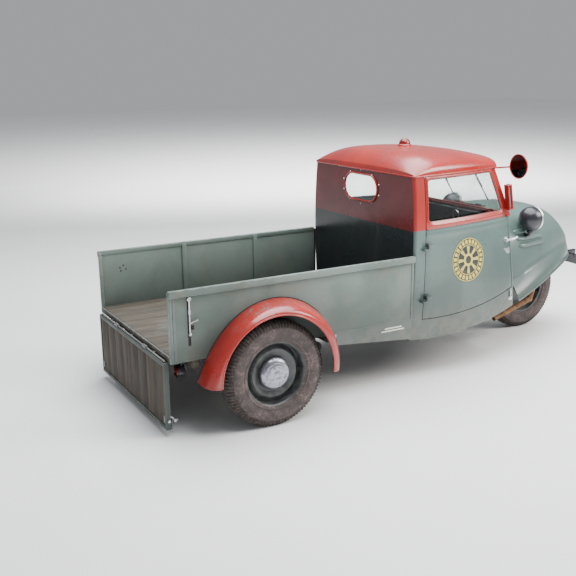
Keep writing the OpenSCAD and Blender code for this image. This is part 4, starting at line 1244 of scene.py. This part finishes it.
def headlamp_shape(shape, side):
    """Round lamp bowl with a pull-off rim, silvered bowl, bulb and bracket; its domed lens is made by
    lamp_lens.
    """
    place = axis_place((LAMP_X, side * LAMP_Y, LAMP_Z), (1, 0, 0))
    bowl = [(LAMP_R * sin_deg(a), -0.095 * cos_deg(a)) for a in steps(0, 90, 20)]
    bowl += [(LAMP_R, 0.020), (LAMP_R + 0.002, 0.022), (LAMP_R + 0.002, 0.030)]
    inner = [((LAMP_R - 0.004) * sin_deg(a), -0.088 * cos_deg(a)) for a in steps(90, 0, 12)]
    shape.lathe([*bowl, (LAMP_R - 0.004, 0.030), *inner], place, 64,
                slots=[0] * (len(bowl)) + [3] * (len(inner)))
    rim = [(LAMP_R + 0.002, 0.026), (LAMP_R + 0.005, 0.032), (LAMP_R + 0.004, 0.040),
           (LAMP_R - 0.003, 0.047),
           (LAMP_R - 0.010, 0.048), (LAMP_R - 0.012, 0.044), (LAMP_R - 0.008, 0.040),
           (LAMP_R - 0.003, 0.030)]
    shape.lathe(rim, place, 64, 1, closed=True)
    bulb = [(0, -0.030), (0.010, -0.028), (0.013, -0.015), (0.010, -0.002), (0, 0.002)]
    shape.lathe(bulb, place, 24, 1)
    post = Vector((LAMP_X, side * LAMP_Y, LAMP_Z))
    shape.tube([post - Vector((0, 0, 0.088)), post - Vector((0.004, 0, 0.110)),
                post - Vector((0.010, 0, 0.128)),
                Vector((LAMP_X - 0.010, side * 0.425, LAMP_Z - 0.132)),
                Vector((LAMP_X - 0.010, side * 0.395, LAMP_Z - 0.130))],
               [0.017, 0.014, 0.013, 0.012, 0.014], 16, 2)
    shape.lathe([(0, 0.012), (0.020, 0.010), (0.024, 0.004), (0.024, -0.004), (0, -0.004)],
                axis_place(post - Vector((0, 0, 0.100)), (0, 0, -1)), 32, 2)


def lamp_lens(shape, side):
    """Domed lens with moulded vertical flutes."""
    def grid(shift):
        rows = []
        for r in steps(0.0008, 0.087, 14):
            row = []
            for k in range(64):
                a = math.tau * k / 64
                flute = 0.0010 * math.cos(r * math.cos(a) / 0.087 * 40)
                h = 0.061 - 0.017 * (r / 0.087) ** 2 + flute * (1 - (r / 0.087) ** 8)
                row.append((LAMP_X + h - shift, side * LAMP_Y + r * math.cos(a), LAMP_Z + r * math.sin(a)))
            rows.append(row)
        return rows

    shape.ring_sheet(grid(0), grid(0.003))


def headlamps():
    shape = Shape()
    for side in SIDES.values():
        headlamp_shape(shape, side)
    shape.piece("lamp_bowls", "hood", ["lamp", "steel", "black", "mirror"], "lamp_black", ["headlamps"])
    lenses = Shape()
    for side in SIDES.values():
        lamp_lens(lenses, side)
    lenses.piece("lamp_lenses", "hood", ["lens"], "window_glass")


# ---------- Wheels ----------


def wheel_place(x, y, side):
    return axis_place((x, y, TYRE_R), (0, side, 0))


def tyre_half():
    """Half section of the tyre, bead to crown: radius, offset, and 1 where it lies in the lugs."""
    bead = [(0.203, 0.042, 0), (0.203, 0.052, 0), (0.212, 0.0585, 0), (0.2215, 0.0640, 0),
            (0.2240, 0.0672, 0), (0.2275, 0.0672, 0), (0.2300, 0.0655, 0)]
    wall = [(0.268 + 0.040 * sin_deg(a), 0.0725 * cos_deg(a * 0.42), 0) for a in steps(-55, 55, 8)]
    lugs = [(0.3020, 0.0672, 1), (0.3080, 0.0660, 1), (0.3160, 0.0630, 1), (0.3240, 0.0590, 1),
            (0.3310, 0.0535, 1), (0.3370, 0.0470, 1), (0.3410, 0.0400, 1), (0.3425, 0.0345, 1)]
    crown = [(0.3425, 0.0300, 0), (0.3360, 0.0285, 0), (0.3360, 0.0245, 0), (0.3430, 0.0230, 0),
             (0.3430, 0.0130, 0), (0.3365, 0.0115, 0), (0.3365, 0.0075, 0), (0.3432, 0.0060, 0)]
    return bead + wall + lugs + crown


def tyre(name, x, y, body, replaced):
    """Tyre with ribbed crown and a row of cross lugs on each shoulder."""
    shape = Shape()
    lug_count, per_lug = 92, 4
    turns = lug_count * per_lug
    half = tyre_half()
    profile = half + [(r, -w, lug) for r, w, lug in half[::-1]]
    section = profile + [(0.2060, -0.036, 0), (0.2300, -0.052, 0), (0.2900, -0.056, 0), (0.3180, -0.030, 0),
                         (0.3180, 0.030, 0), (0.2900, 0.056, 0), (0.2300, 0.052, 0), (0.2060, 0.036, 0)]
    rows = []
    for i in range(turns):
        a = math.tau * i / turns
        sunk = 1 if i % per_lug >= 2 else 0
        row = []
        for r, w, lug in section:
            rr = r - 0.0055 * lug * sunk
            ww = w - math.copysign(0.0030 * lug * sunk, w)
            row.append((x + rr * math.sin(a), y + ww, TYRE_R + rr * math.cos(a)))
        rows.append(row)
    verts = shape.points(rows)
    shape.skin(verts, 0, wrap_rows=True, wrap_columns=True)
    for face in shape.bm.faces:
        centre = face.calc_center_median()
        r = math.hypot(centre.x - x, centre.z - TYRE_R)
        face.material_index = 1 if r > 0.3005 else 0
    shape.piece(name, body, ["tyre", "tread"], "tyre", [replaced], 40)


def rim_profile(bore, hub_r, hub_in):
    """Section of the pressed wheel: dished disc, drop-centre and rolled flanges."""
    outside = [(bore, 0.026), (hub_r, 0.026), (hub_r + 0.003, 0.023), (hub_r + 0.003, 0.015),
               (0.116, 0.014),
               (0.124, 0.0165), (0.148, 0.0265), (0.152, 0.0280), (0.156, 0.0265), (0.166, 0.0110),
               (0.170, 0.0070),
               (0.180, -0.0060), (0.184, -0.0080), (0.1955, -0.0080), (0.1960, 0.0400), (0.1975, 0.0440),
               (0.2000, 0.0470), (0.2030, 0.0525), (0.2090, 0.0560), (0.2150, 0.0565), (0.2170, 0.0545),
               (0.2160, 0.0520)]
    inside = [(0.2035, 0.0500), (0.2030, -0.0525), (0.2170, -0.0530), (0.2170, -0.0555), (0.2000, -0.0555),
              (0.1960, -0.0500), (0.1960, -0.0140), (0.1800, -0.0140), (0.1650, 0.0020), (0.1500, 0.0220),
              (0.1200, 0.0080), (hub_r, 0.0080), (hub_r, -hub_in), (bore, -hub_in)]
    return outside + inside


def rim(name, x, y, side, body, replaced, bore, hub_r, hub_in):
    shape = Shape()
    place = wheel_place(x, y, side)
    shape.lathe(rim_profile(bore, hub_r, hub_in), place, 96, closed=True)
    for k in range(5):
        a = 72 * k
        spot = place @ Vector((0.088 * cos_deg(a), 0.088 * sin_deg(a), 0.014))
        shape.lathe([(0, 0.012), (0.007, 0.011), (0.009, 0.006), (0.009, 0.000), (0, 0)],
                    axis_place(spot, (0, side, 0)), 6, 1)
    valve = place @ Vector((0.186, 0, -0.006))
    tip = place @ Vector((0.172, 0, 0.026))
    shape.tube([valve, valve.lerp(tip, 0.5), tip], 0.004, 10, 2)
    shape.piece(name, body, ["rim", "zinc", "rubber"], "rim_grey", [replaced], 38)


def hubcap(side_name, side):
    shape = Shape()
    place = wheel_place(AXLE_X, side * WHEEL_Y, side)
    face = [(0, 0.0680), (0.012, 0.0678), (0.022, 0.0672), (0.026, 0.0656), (0.030, 0.0668),
            (0.056, 0.0640),
            (0.066, 0.0622), (0.070, 0.0604), (0.074, 0.0612), (0.084, 0.0575), (0.092, 0.0525),
            (0.099, 0.0460),
            (0.1040, 0.0385), (0.1068, 0.0310), (0.1070, 0.0285), (0.1040, 0.0285), (0.100, 0.0400),
            (0.080, 0.0540),
            (0, 0.0640)]
    shape.lathe(face, place, 72)
    shape.piece(f"hub_cover_{side_name}", f"rear_wheel_{side_name}", ["hubcap"], "hubcap_steel",
                [f"hubcap_{side_name}"])


def wheels():
    for name, side in SIDES.items():
        body = f"rear_wheel_{name}"
        tyre(f"tyre_{name}", AXLE_X, side * WHEEL_Y, body, f"rear_tyre_{name}")
        rim(f"wheel_disc_{name}", AXLE_X, side * WHEEL_Y, side, body, f"rear_rim_{name}", 0.02505, 0.045,
            0.050)
        hubcap(name, side)
    tyre("tyre_front", STEER_X, 0, "front_wheel", "front_tyre")
    rim("wheel_disc_front", STEER_X, 0, 1, "front_wheel", "front_rim", 0.01205, 0.038, 0.058)


def fender(side_name, side):
    """Flared rear fender with a rolled outer lip and a welt against the bed side."""
    shape = Shape()
    angles = steps(-90, 96, 72)
    grids = [mirrored([[fender_point(f, v, t) for v in steps(0, 1, 18)] for f in angles],
                      side) for t in (0, SHEET)]
    shape.sheet(*grids, 0, 1)
    lip = [flip(fender_point(f, 1, 0.003), side) for f in angles]
    shape.tube(lip, 0.0065, 10)
    tail = [flip(fender_point(-90, v, 0.002), side) for v in steps(0, 1, 16)]
    shape.tube(tail, 0.005, 8)
    welt = [flip((x, y + 0.0035, z), side) for x, y, z in (fender_point(f, 0, -0.001) for f in angles)]
    shape.tube(welt, 0.004, 8, 2)
    shape.piece(f"fender_skin_{side_name}", "root", ["fender", "seam_and_shade", "rubber"], "red_paint",
                [f"rear_fender_{side_name}"])


# ---------- Bed ----------


def bed_side(side_name, side):
    """Bed side: thin panel, folded top rail with a black strip of painted shadow under it, rear post, inner
    ribs and a hemmed lower edge.
    """
    shape = Shape()
    y = BED_HW

    def slab(x0, x1, y0, y1, z0, z1, bevel=0.002, slot=0):
        shape.box(*handed(side, (x0, y0, z0), (x1, y1, z1)), bevel, slot)

    slab(BED_X, BED_FRONT, y - SHEET, y, BED_BOTTOM, BED_TOP - 0.010, 0.0008)
    slab(BED_X, BED_FRONT, y - 0.008, y + 0.020, BED_TOP - 0.009, BED_TOP, 0.004, 1)
    slab(BED_X, BED_FRONT, y + 0.0145, y + 0.020, BED_TOP - 0.042, BED_TOP - 0.004, 0.0022, 1)
    slab(BED_X, BED_FRONT, y - 0.008, y - 0.004, BED_TOP - 0.030, BED_TOP - 0.004, 0.0015, 1)
    # painted shadow: a black strip under the top rail, slot 2, stands for the shadow that the rail casts
    slab(BED_X + 0.004, BED_FRONT - 0.004, y - 0.001, y + 0.0145, BED_TOP - 0.040, BED_TOP - 0.034, 0.0015,
         2)
    slab(BED_X - 0.001, BED_X + 0.022, y - 0.016, y + 0.003, BED_BOTTOM, BED_TOP - 0.010, 0.003, 1)
    slab(BED_X + 0.026, BED_X + 0.040, y - 0.001, y + 0.0035, BED_BOTTOM, BED_TOP - 0.042, 0.0015, 1)
    slab(BED_FRONT - 0.018, BED_FRONT, y - 0.001, y + 0.0035, BED_BOTTOM, BED_TOP - 0.042, 0.0015, 1)
    slab(BED_X, BED_FRONT, y - 0.006, y + 0.0020, BED_BOTTOM, BED_BOTTOM + 0.010, 0.0018, 0)
    for x in (BED_X + 0.640, BED_X + 1.240):
        slab(x, x + 0.036, y - 0.012, y - SHEET + 0.001, FLOOR_Z, BED_TOP - 0.010, 0.003)
    shape.cylinder((LATCH_X, side * (y - 0.002), LATCH_Z), (LATCH_X, side * (y + 0.0165), LATCH_Z), 0.007,
                   3)
    for dx, dz in ((0.105, 0.135), (0.130, 0.120), (0.110, 0.160), (0.150, 0.150)):
        shape.lathe([(0, 0.0030), (0.004, 0.0024), (0.006, 0)],
                    axis_place((BED_X + dx + 0.05, side * (y - SHEET), BED_TOP - dz), (0, -side, 0)), 14, 2)
    shape.piece(f"bed_panel_{side_name}", "root", ["bed", "rail", "seam_and_shade", "zinc"], "bed_paint",
                [f"bed_side_{side_name}"])


def bed_planks():
    """Plank floor on cross-bearers, with steel hinge knuckles for the tailgate."""
    shape = Shape()
    hw, count = BED_HW - SHEET - 0.001, 9
    width = 2 * hw / count
    for i in range(count):
        y = -hw + i * width
        shape.box((BED_X + 0.013, y + 0.0012, FLOOR_BOARD_Z),
                  (BED_FRONT - 0.001, y + width - 0.0012, FLOOR_Z), 0.0025, 0)
    for x in (0.140, 0.560, 1.100, 1.520):
        shape.box((BED_X + x, -hw, BEARER_Z), (BED_X + x + 0.050, hw, FLOOR_BOARD_Z - 0.001), 0.003, 1)
    shape.box((BED_X + 0.001, -hw, BED_BOTTOM), (BED_X + 0.012, hw, FLOOR_Z - 0.001), 0.003, 2)
    for y in (-0.4, 0, 0.4):
        shape.box((GATE_PIN_X - 0.004, y - 0.016, GATE_PIN_Z - 0.006),
                  (BED_X + 0.005, y + 0.016, GATE_PIN_Z + 0.006), 0.003, 2)
    shape.cylinder((GATE_PIN_X, -0.600, GATE_PIN_Z), (GATE_PIN_X, 0.600, GATE_PIN_Z), 0.005, 3)
    shape.piece("bed_planking", "root", ["planks", "black", "rail", "zinc"], "floor_boards", ["bed_floor"])


def packing_strips():
    """Dark packing between the front of the bed and the cab's rear wall."""
    shape = Shape()
    for side in SIDES.values():
        low = (BED_FRONT + 0.0003, side * (BED_HW - 0.020), BED_BOTTOM + 0.006)
        high = (CAB_X - SHEET - 0.0003, side * (BED_HW - 0.001), BED_TOP - 0.012)
        shape.box(*ordered(low, high), 0.001, 0)
    shape.box((BED_FRONT + 0.0003, -BED_HW + 0.021, BED_BOTTOM + 0.010),
              (CAB_X - SHEET - 0.0003, BED_HW - 0.021, FLOOR_Z - 0.002), 0.001, 0)
    shape.piece("bed_packing", "root", ["rubber"])


def bed_badge():
    """Small plain nameplate low on the bed side, without any lettering."""
    for name, side in SIDES.items():
        shape = Shape()
        y = side * (BED_HW - 0.001)
        for x0, x1, z in ((-0.455, -0.262, 0.420), (-0.425, -0.282, 0.438)):
            shape.box(*ordered((x0, y - side * 0.001, z), (x1, y + side * 0.0035, z + 0.010)), 0.0015, 0)
        shape.piece(f"side_badge_{name}", "root", ["badge"])


def tailgate():
    """Let-down tailgate: steel edge frame darkened as painted shade, rubbing strips that also paint a
    highlight, hooks and rubber buffers.
    """
    x0, x1 = BED_X - 0.030, BED_X
    hw, z0, z1, edge = 0.620, 0.048, 0.478, 0.024
    # painted shade: slots 0 and 2 give the frame its green-grey paint darkened
    shape = Shape()
    for side in SIDES.values():
        shape.box(*handed(side, (x0, hw - edge, z0), (x1, hw - 0.002, z1)), 0.003, 2)
        shape.box(*handed(side, (x0 + 0.001, hw - 0.002, z0 + 0.001), (x1, hw, z1)), 0.001, 1)
        shape.cylinder((GATE_PIN_X, side * (hw - 0.002), z0 + 0.060),
                       (GATE_PIN_X, side * (hw + 0.016), z0 + 0.060), 0.008, 3)
        shape.box(*handed(side, (x1 - 0.002, hw - 0.030, z0 - 0.001),
                          (x1 + 0.010, hw - 0.004, z0 + 0.026)), 0.004, 4)
        shape.box(*handed(side, (x0 - 0.001, hw - 0.045, z0 + 0.040),
                          (x0 + 0.004, hw - 0.028, z0 + 0.085)), 0.001, 3)
    shape.box((x0, -hw + edge, z0), (x1, hw - edge, z0 + edge), 0.003, 2)
    shape.box((x0, -hw + edge, z1 - edge), (x1, hw - edge, z1), 0.003, 0)
    shape.box((x1 - 0.003, -hw + edge, z0 + edge), (x1, hw - edge, z1 - edge), 0.001, 0)
    # pale strips along the lower edge stand for worn paint and also paint the highlight along that edge
    for y in (-0.50, -0.22, 0.06, 0.34):
        shape.box((x0 - 0.0015, y, z0 + 0.004), (x0 + 0.001, y + 0.110, z0 + 0.016), 0.0008, 5)
    for y in (-0.300, 0.240):
        shape.cylinder((GATE_PIN_X, y, GATE_PIN_Z), (GATE_PIN_X, y + 0.060, GATE_PIN_Z), 0.012, 1)
    for side in SIDES.values():
        y = side * (hw - 0.040)
        hook = [(x1 + 0.001, y, 0.118), (x1 + 0.014, y, 0.116), (x1 + 0.026, y, 0.108),
                (x1 + 0.036, y, 0.094),
                (x1 + 0.048, y, 0.086), (x1 + 0.060, y, 0.090)]
        shape.tube(hook, [0.006, 0.006, 0.0055, 0.0055, 0.006, 0.005], 12, 3)
        shape.cylinder((x1 - 0.001, y, 0.118), (x1 + 0.006, y, 0.118), 0.013, 3)
        shape.cylinder((x1 + 0.040, y - 0.012, 0.088), (x1 + 0.040, y + 0.012, 0.088), 0.010, 3)
    shape.piece("gate_frame", "tailgate",
                ["gate_shaded", "gate_edge", "gate_shaded", "steel", "rubber", "badge"], "bed_paint",
                ["tailgate_frame"])
    boards = Shape()
    y0, count = -hw + edge, 8
    width = 2 * (hw - edge) / count
    for i in range(count):
        boards.box((x0 + 0.004, y0 + i * width + 0.001, z0 + edge + 0.001),
                   (x1 - 0.003, y0 + (i + 1) * width - 0.001, z1 - edge - 0.001), 0.0025)
    boards.piece("gate_planks", "tailgate", ["gate_wood"], "gate_wood", ["tailgate_boards"])


def latch(side_name, side):
    """Drop-bar latch: pale knob, rod, cross handle and lower pin, with black plates of painted shadow
    behind it.
    """
    x, z, y = LATCH_X, LATCH_Z, BED_HW + 0.008
    shape = Shape()
    shape.cylinder((x, side * (y - 0.007), z), (x, side * (y + 0.008), z), 0.014, 0, 0.004)
    shape.tube([(x, side * y, z - 0.010), (x, side * y, 0.760), (x, side * y, 0.645)],
               [0.0062, 0.0050, 0.0050], 14)
    shape.tube([(x, side * y, 0.800), (x, side * y, 0.775)], 0.0085, 14)
    shape.cylinder((x, side * (y - 0.006), 0.648), (x, side * (y + 0.010), 0.648), 0.009, 0, 0.003)
    shape.tube([(x, side * y, 0.715), (x + 0.024, side * (y + 0.008), 0.7265),
                (x + 0.048, side * (y + 0.016), 0.738)],
               [0.0055, 0.0045, 0.0060], 12)
    shape.piece(f"drop_latch_{side_name}", f"latch_{side_name}", ["steel"], "bright_steel",
                [f"latch_{side_name}"])
    # painted shadow: thin black plates on the bed side stand for the shadow of the rod and its handle
    plate = Shape()
    wall = BED_HW - 0.0005
    plate.box(*handed(side, (x - 0.011, wall, 0.575), (x + 0.008, wall + 0.0011, 0.862)), 0.0005, 0)
    plate.box(*handed(side, (x - 0.004, wall, 0.672), (x + 0.030, wall + 0.0011, 0.700)), 0.0005, 0)
    plate.piece(f"latch_shadow_{side_name}", "root", ["seam_and_shade"], "frame_black")


def tail_lamps():
    shape = Shape()
    for side in SIDES.values():
        place = axis_place((BED_X + 0.125, side * 0.562, 0.395), (-1, 0, 0))
        shell = [(0, 0), (0.026, 0.001), (0.034, 0.006), (0.038, 0.016), (0.038, 0.050), (0.040, 0.052),
                 (0.040, 0.056),
                 (0.036, 0.058), (0.033, 0.055), (0.031, 0.052)]
        shape.lathe(shell, place, 40, 0)
        shape.lathe([(0.0325, 0.050), (0.0325, 0.056), (0.030, 0.062), (0.018, 0.066), (0, 0.067),
                     (0, 0.050)], place, 40, 1)
        shape.box(*handed(side, (BED_X + 0.095, 0.545, 0.400), (BED_X + 0.103, 0.579, 0.500)), 0.002, 0)
    shape.piece("rear_lamps", "root", ["lamp", "red_lens"], "lamp_black", ["tail_lamps"])


# ---------- Small outside parts ----------


def mirror(side_name, side):
    low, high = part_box(f"mirror_{side_name}")
    r = 0.087
    cx, cy, cz = high.x - 0.040, (high.y if side > 0 else -low.y) - r, high.z - r
    place = axis_place((cx - 0.014, side * cy, cz), (1, 0, 0))
    shape = Shape()
    bowl = [(0, 0.022)] + [(r * sin_deg(a), -0.003 + 0.025 * cos_deg(a)) for a in steps(8, 84, 12)]
    bowl += [(r + 0.001, -0.003), (r + 0.002, -0.006), (r, -0.009), (r - 0.004, -0.0095),
             (r - 0.0055, -0.007), (r - 0.006, -0.004)]
    # slot 1, the mirror's face, is near-black: a painted dark reflection
    shape.lathe([*bowl, (0, -0.004)], place, 56, slots=[0] * (len(bowl) - 1) + [1])
    for z in (-0.034, 0.024):
        shape.box(*handed(side, (cx + 0.002, cy - 0.010, cz + z),
                          (cx + 0.040, cy + 0.010, cz + z + 0.010)), 0.002, 0)
    shape.piece(f"mirror_bowl_{side_name}", f"mirror_{side_name}", ["red", "mirror_dark_reflection"], "red_paint",
                [f"mirror_{side_name}"])


def trafficators():
    """Semaphore housings on the windscreen pillars and the arms folded into them."""
    tidy("trafficator_housings", ["red"], 0.003)
    for name in SIDES:
        tidy(f"trafficator_arm_{name}", ["arm"], 0.003)


def roof_marker():
    low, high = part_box("roof_lamp")
    shape = Shape()
    place = axis_place(((low.x + high.x) / 2, 0, low.z), (0, 0, 1))
    base = [(0, 0), (0.051, 0), (0.052, 0.004), (0.049, 0.009), (0.045, 0.012), (0.044, 0.014)]
    shape.lathe(base + [(0, 0.014)], place, 48, 0)
    dome = [(0.0425 * cos_deg(a), 0.013 + 0.043 * sin_deg(a)) for a in steps(0, 90, 14)]
    shape.lathe([(0, 0.013), *dome], place, 48, 1)
    shape.piece("roof_marker_lamp", "root", ["red", "red_lens"], "red_paint", ["roof_lamp"])


# ---------- Interior ----------


def seat_cloth(name, low, high, crown):
    """A padded cushion: a rounded box blown up as cloth, held near its start and smoothed."""
    shape = Shape()
    shape.box(low, high, 0.022)
    mesh = bpy.data.meshes.new(name)
    shape.bm.to_mesh(mesh)
    shape.bm.free()
    pad = bpy.data.objects.new(name, mesh)
    scene.collection.objects.link(pad)
    remesh = pad.modifiers.new("even", "REMESH")
    remesh.mode = "VOXEL"
    remesh.voxel_size = 0.008
    apply_all(pad)
    swell(pad, crown)
    smooth = pad.modifiers.new("soft", "SUBSURF")
    smooth.levels = smooth.render_levels = 1
    apply_all(pad)
    return pad


def apply_all(obj):
    """Bakes an object's modifiers into its mesh."""
    depsgraph = bpy.context.evaluated_depsgraph_get()
    made = bpy.data.meshes.new_from_object(obj.evaluated_get(depsgraph))
    obj.modifiers.clear()
    obj.data = made


def swell(pad, cap):
    """Inflates a cushion as cloth for 20 frames, and lets no point move further than cap."""
    start = [v.co.copy() for v in pad.data.vertices]
    cloth = pad.modifiers.new("cloth", "CLOTH")
    cloth.settings.use_pressure = True
    cloth.settings.uniform_pressure_force = 4
    cloth.settings.effector_weights.gravity = 0
    cloth.settings.quality = 4
    cloth.point_cache.frame_start = 1
    cloth.point_cache.frame_end = 20
    for number in range(1, 21):
        scene.frame_set(number)
    depsgraph = bpy.context.evaluated_depsgraph_get()
    posed = pad.evaluated_get(depsgraph).to_mesh()
    ends = [v.co.copy() for v in posed.vertices]
    pad.evaluated_get(depsgraph).to_mesh_clear()
    pad.modifiers.clear()
    scene.frame_set(1)
    for v, a, b in zip(pad.data.vertices, start, ends):
        move = b - a
        v.co = a + move * min(1, cap / max(move.length, 1e-9))


def seat():
    """Bench seat: two sim-blown cushions with sewn channels; their piping is made by seat_piping."""
    for node, body_name, axis in (("seat_cushion", "bench_cushion", 2),
                                  ("seat_backrest", "bench_backrest", 0)):
        low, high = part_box(node)
        shrink = Vector((0.012, 0.018, 0.012))
        pad = seat_cloth(body_name, low + shrink, high - shrink, 0.024)
        channels(pad, low, high, axis)
        keep_inside(pad, low, high)
        pad.data.materials.append(M["leather"])
        pad.data.polygons.foreach_set("use_smooth", [True] * len(pad.data.polygons))
        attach(pad, "root")
        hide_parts(node)


def channels(pad, low, high, axis):
    """Sewn channels across the bench, pressed into the face that is sat on."""
    count = 7
    for v in pad.data.vertices:
        t = (v.co.y - low.y) / (high.y - low.y) * count
        dip = math.exp(-(((t - round(t)) / 0.07) ** 2)) if 0.5 < t < count - 0.5 else 0
        top = (v.co[axis] - low[axis]) / (high[axis] - low[axis])
        v.co[axis] -= 0.010 * dip * max(0, top - 0.5) * 2


def keep_inside(pad, low, high):
    """Keeps a cushion in its own space, clear of the parts beside it."""
    for v in pad.data.vertices:
        for k in range(3):
            v.co[k] = min(max(v.co[k], low[k] - 0.004), high[k] + 0.006)


def seat_piping():
    low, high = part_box("seat_cushion")
    shape = Shape()
    r = 0.030
    y0, y1, x0, x1, z = low.y + 0.010, high.y - 0.010, low.x + 0.008, high.x - 0.006, high.z - 0.012
    loop = []
    for cx, cy, start in ((x1 - r, y1 - r, 0), (x0 + r, y1 - r, 90), (x0 + r, y0 + r, 180),
                          (x1 - r, y0 + r, 270)):
        loop += [(cx + r * cos_deg(start + a), cy + r * sin_deg(start + a), z) for a in steps(0, 90, 6)]
    shape.tube(loop, 0.0045, 8, closed=True)
    shape.piece("bench_piping", "root", ["leather"], "seat_leather")


def dashboard():
    """Pressed dash panel under the windscreen with a round instrument and a switch."""
    shape = Shape()
    x = CAB_FRONT - 0.070
    shape.box((x, -0.470, 0.990), (x + 0.006, 0.470, 1.080), 0.003, 0)
    shape.box((x, -0.470, 1.076), (CAB_FRONT - 0.008, 0.470, 1.084), 0.003, 0)
    place = axis_place((x, 0.0, 1.036), (-1, 0, 0))
    shape.lathe([(0, 0.004), (0.030, 0.004), (0.032, 0.010), (0.036, 0.010), (0.038, 0.002), (0, 0.0)],
                place, 40, slots=[2, 1, 1, 1, 1])
    for y in (-0.120, 0.110):
        shape.cylinder((x - 0.016, y, 1.030), (x, y, 1.030), 0.009, 2, 0.004)
    shape.piece("dash_panel", "root", ["lining", "steel", "bakelite"])


# ---------- CAD nodes that keep their own shape ----------


def tidy(node, materials, bevel=0.0015):
    """Gives a CAD node its finish and soft edges."""
    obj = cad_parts[node]
    obj.data.materials.clear()
    for key in materials:
        obj.data.materials.append(M[key])
    if bevel:
        weld = obj.modifiers.new("weld", "WELD")
        weld.merge_threshold = 0.00005
        soft = obj.modifiers.new("edges", "BEVEL")
        soft.width = bevel
        soft.segments = 2
        soft.limit_method = "ANGLE"
        soft.angle_limit = math.radians(40)
        soft.harden_normals = False


def kept_nodes():
    for node in ("chassis_frame", "rear_arm_right", "rear_arm_left", "fork", "cab_floor",
                 "steering_column"):
        tidy(node, ["black"], 0.002)
    tidy("side_skirts", ["skirt"], 0.0008)
    tidy("engine", ["cast"], 0.002)
    tidy("exhaust_pipe", ["rust"], 0)
    for node in ("rear_window_glass", "windscreen_glass", "door_glass_right", "door_glass_left"):
        tidy(node, ["glass"], 0)
    tidy("windscreen_frame", ["red"], 0.003)
    for node in ("steering_wheel", "gear_lever"):
        tidy(node, ["bakelite"], 0)
    for node in ("clutch_pedal", "brake_pedal", "accelerator_pedal"):
        tidy(node, ["black"], 0.002)
    for name in SIDES:
        tidy(f"mirror_arm_{name}", ["red"], 0)
        tidy(f"wiper_{name}", ["black"], 0.001)


# ---------- Stage, lights and camera ----------


def stage():
    mesh = bpy.data.meshes.new("studio_floor")
    size = 40
    corners = [(-size, -size, 0), (size, -size, 0), (size, size, 0), (-size, size, 0)]
    mesh.from_pydata(corners, [], [(0, 1, 2, 3)])
    floor = bpy.data.objects.new("studio_floor", mesh)
    mesh.materials.append(M["floor"])
    scene.collection.objects.link(floor)


def area_light(name, spot, aim, size, power, colour=(1, 1, 1)):
    data = bpy.data.lights.new(name, "AREA")
    data.shape = "RECTANGLE"
    data.size, data.size_y = size
    data.energy = power
    data.color = colour
    lamp = bpy.data.objects.new(name, data)
    lamp.location = spot
    lamp.rotation_euler = (Vector(aim) - Vector(spot)).to_track_quat("-Z", "Y").to_euler()
    scene.collection.objects.link(lamp)


def lights():
    world = bpy.data.worlds.new("studio")
    world.use_nodes = True
    world.node_tree.nodes["Background"].inputs["Color"].default_value = (0.93, 0.96, 1.0, 1)
    world.node_tree.nodes["Background"].inputs["Strength"].default_value = 0.42
    scene.world = world
    area_light("key", (5.5, -4.5, 5.0), (0.0, 0, 0.8), (3.5, 3.5), 650, (1.0, 0.97, 0.93))
    area_light("sky", (0.6, 0.0, 6.0), (0.3, 0, 0.5), (8.0, 6.0), 1150, (0.97, 0.99, 1.0))
    area_light("backdrop", (6.0, 9.0, 6.0), (9.0, 16.0, 0.0), (10.0, 10.0), 2500)


def camera():
    """Three-quarter view from behind the truck's right side."""
    data = bpy.data.cameras.new("camera")
    data.sensor_width = 36
    data.lens = 52.67
    data.clip_end = 200
    eye = bpy.data.objects.new("camera", data)
    scene.collection.objects.link(eye)
    yaw, pitch, roll = math.radians(60.374), math.radians(14.589), math.radians(-0.595)
    forward = Vector((math.cos(pitch) * math.cos(yaw), math.cos(pitch) * math.sin(yaw), -math.sin(pitch)))
    right = Vector((math.sin(yaw), -math.cos(yaw), 0))
    up = right.cross(forward)
    right, up = right * math.cos(roll) + up * math.sin(roll), up * math.cos(roll) - right * math.sin(roll)
    turn = Matrix((right, up, -forward)).transposed()
    eye.matrix_world = Matrix.Translation((-3.718, -5.115, 2.174)) @ turn.to_4x4()
    scene.camera = eye


def build():
    for part in (cab_body, back_wall, rear_window, roof, windscreen_trim, hood, bumper, headlamps, wheels,
                 bed_planks, bed_badge, packing_strips, tailgate, tail_lamps, trafficators, roof_marker,
                 kept_nodes, seat, seat_piping, dashboard):
        part()
    for name, side in SIDES.items():
        for part in (door, door_details, door_lever, roundel, louvres, hood_catch, fender, bed_side, latch,
                     mirror):
            part(name, side)


build()
stage()
lights()
camera()
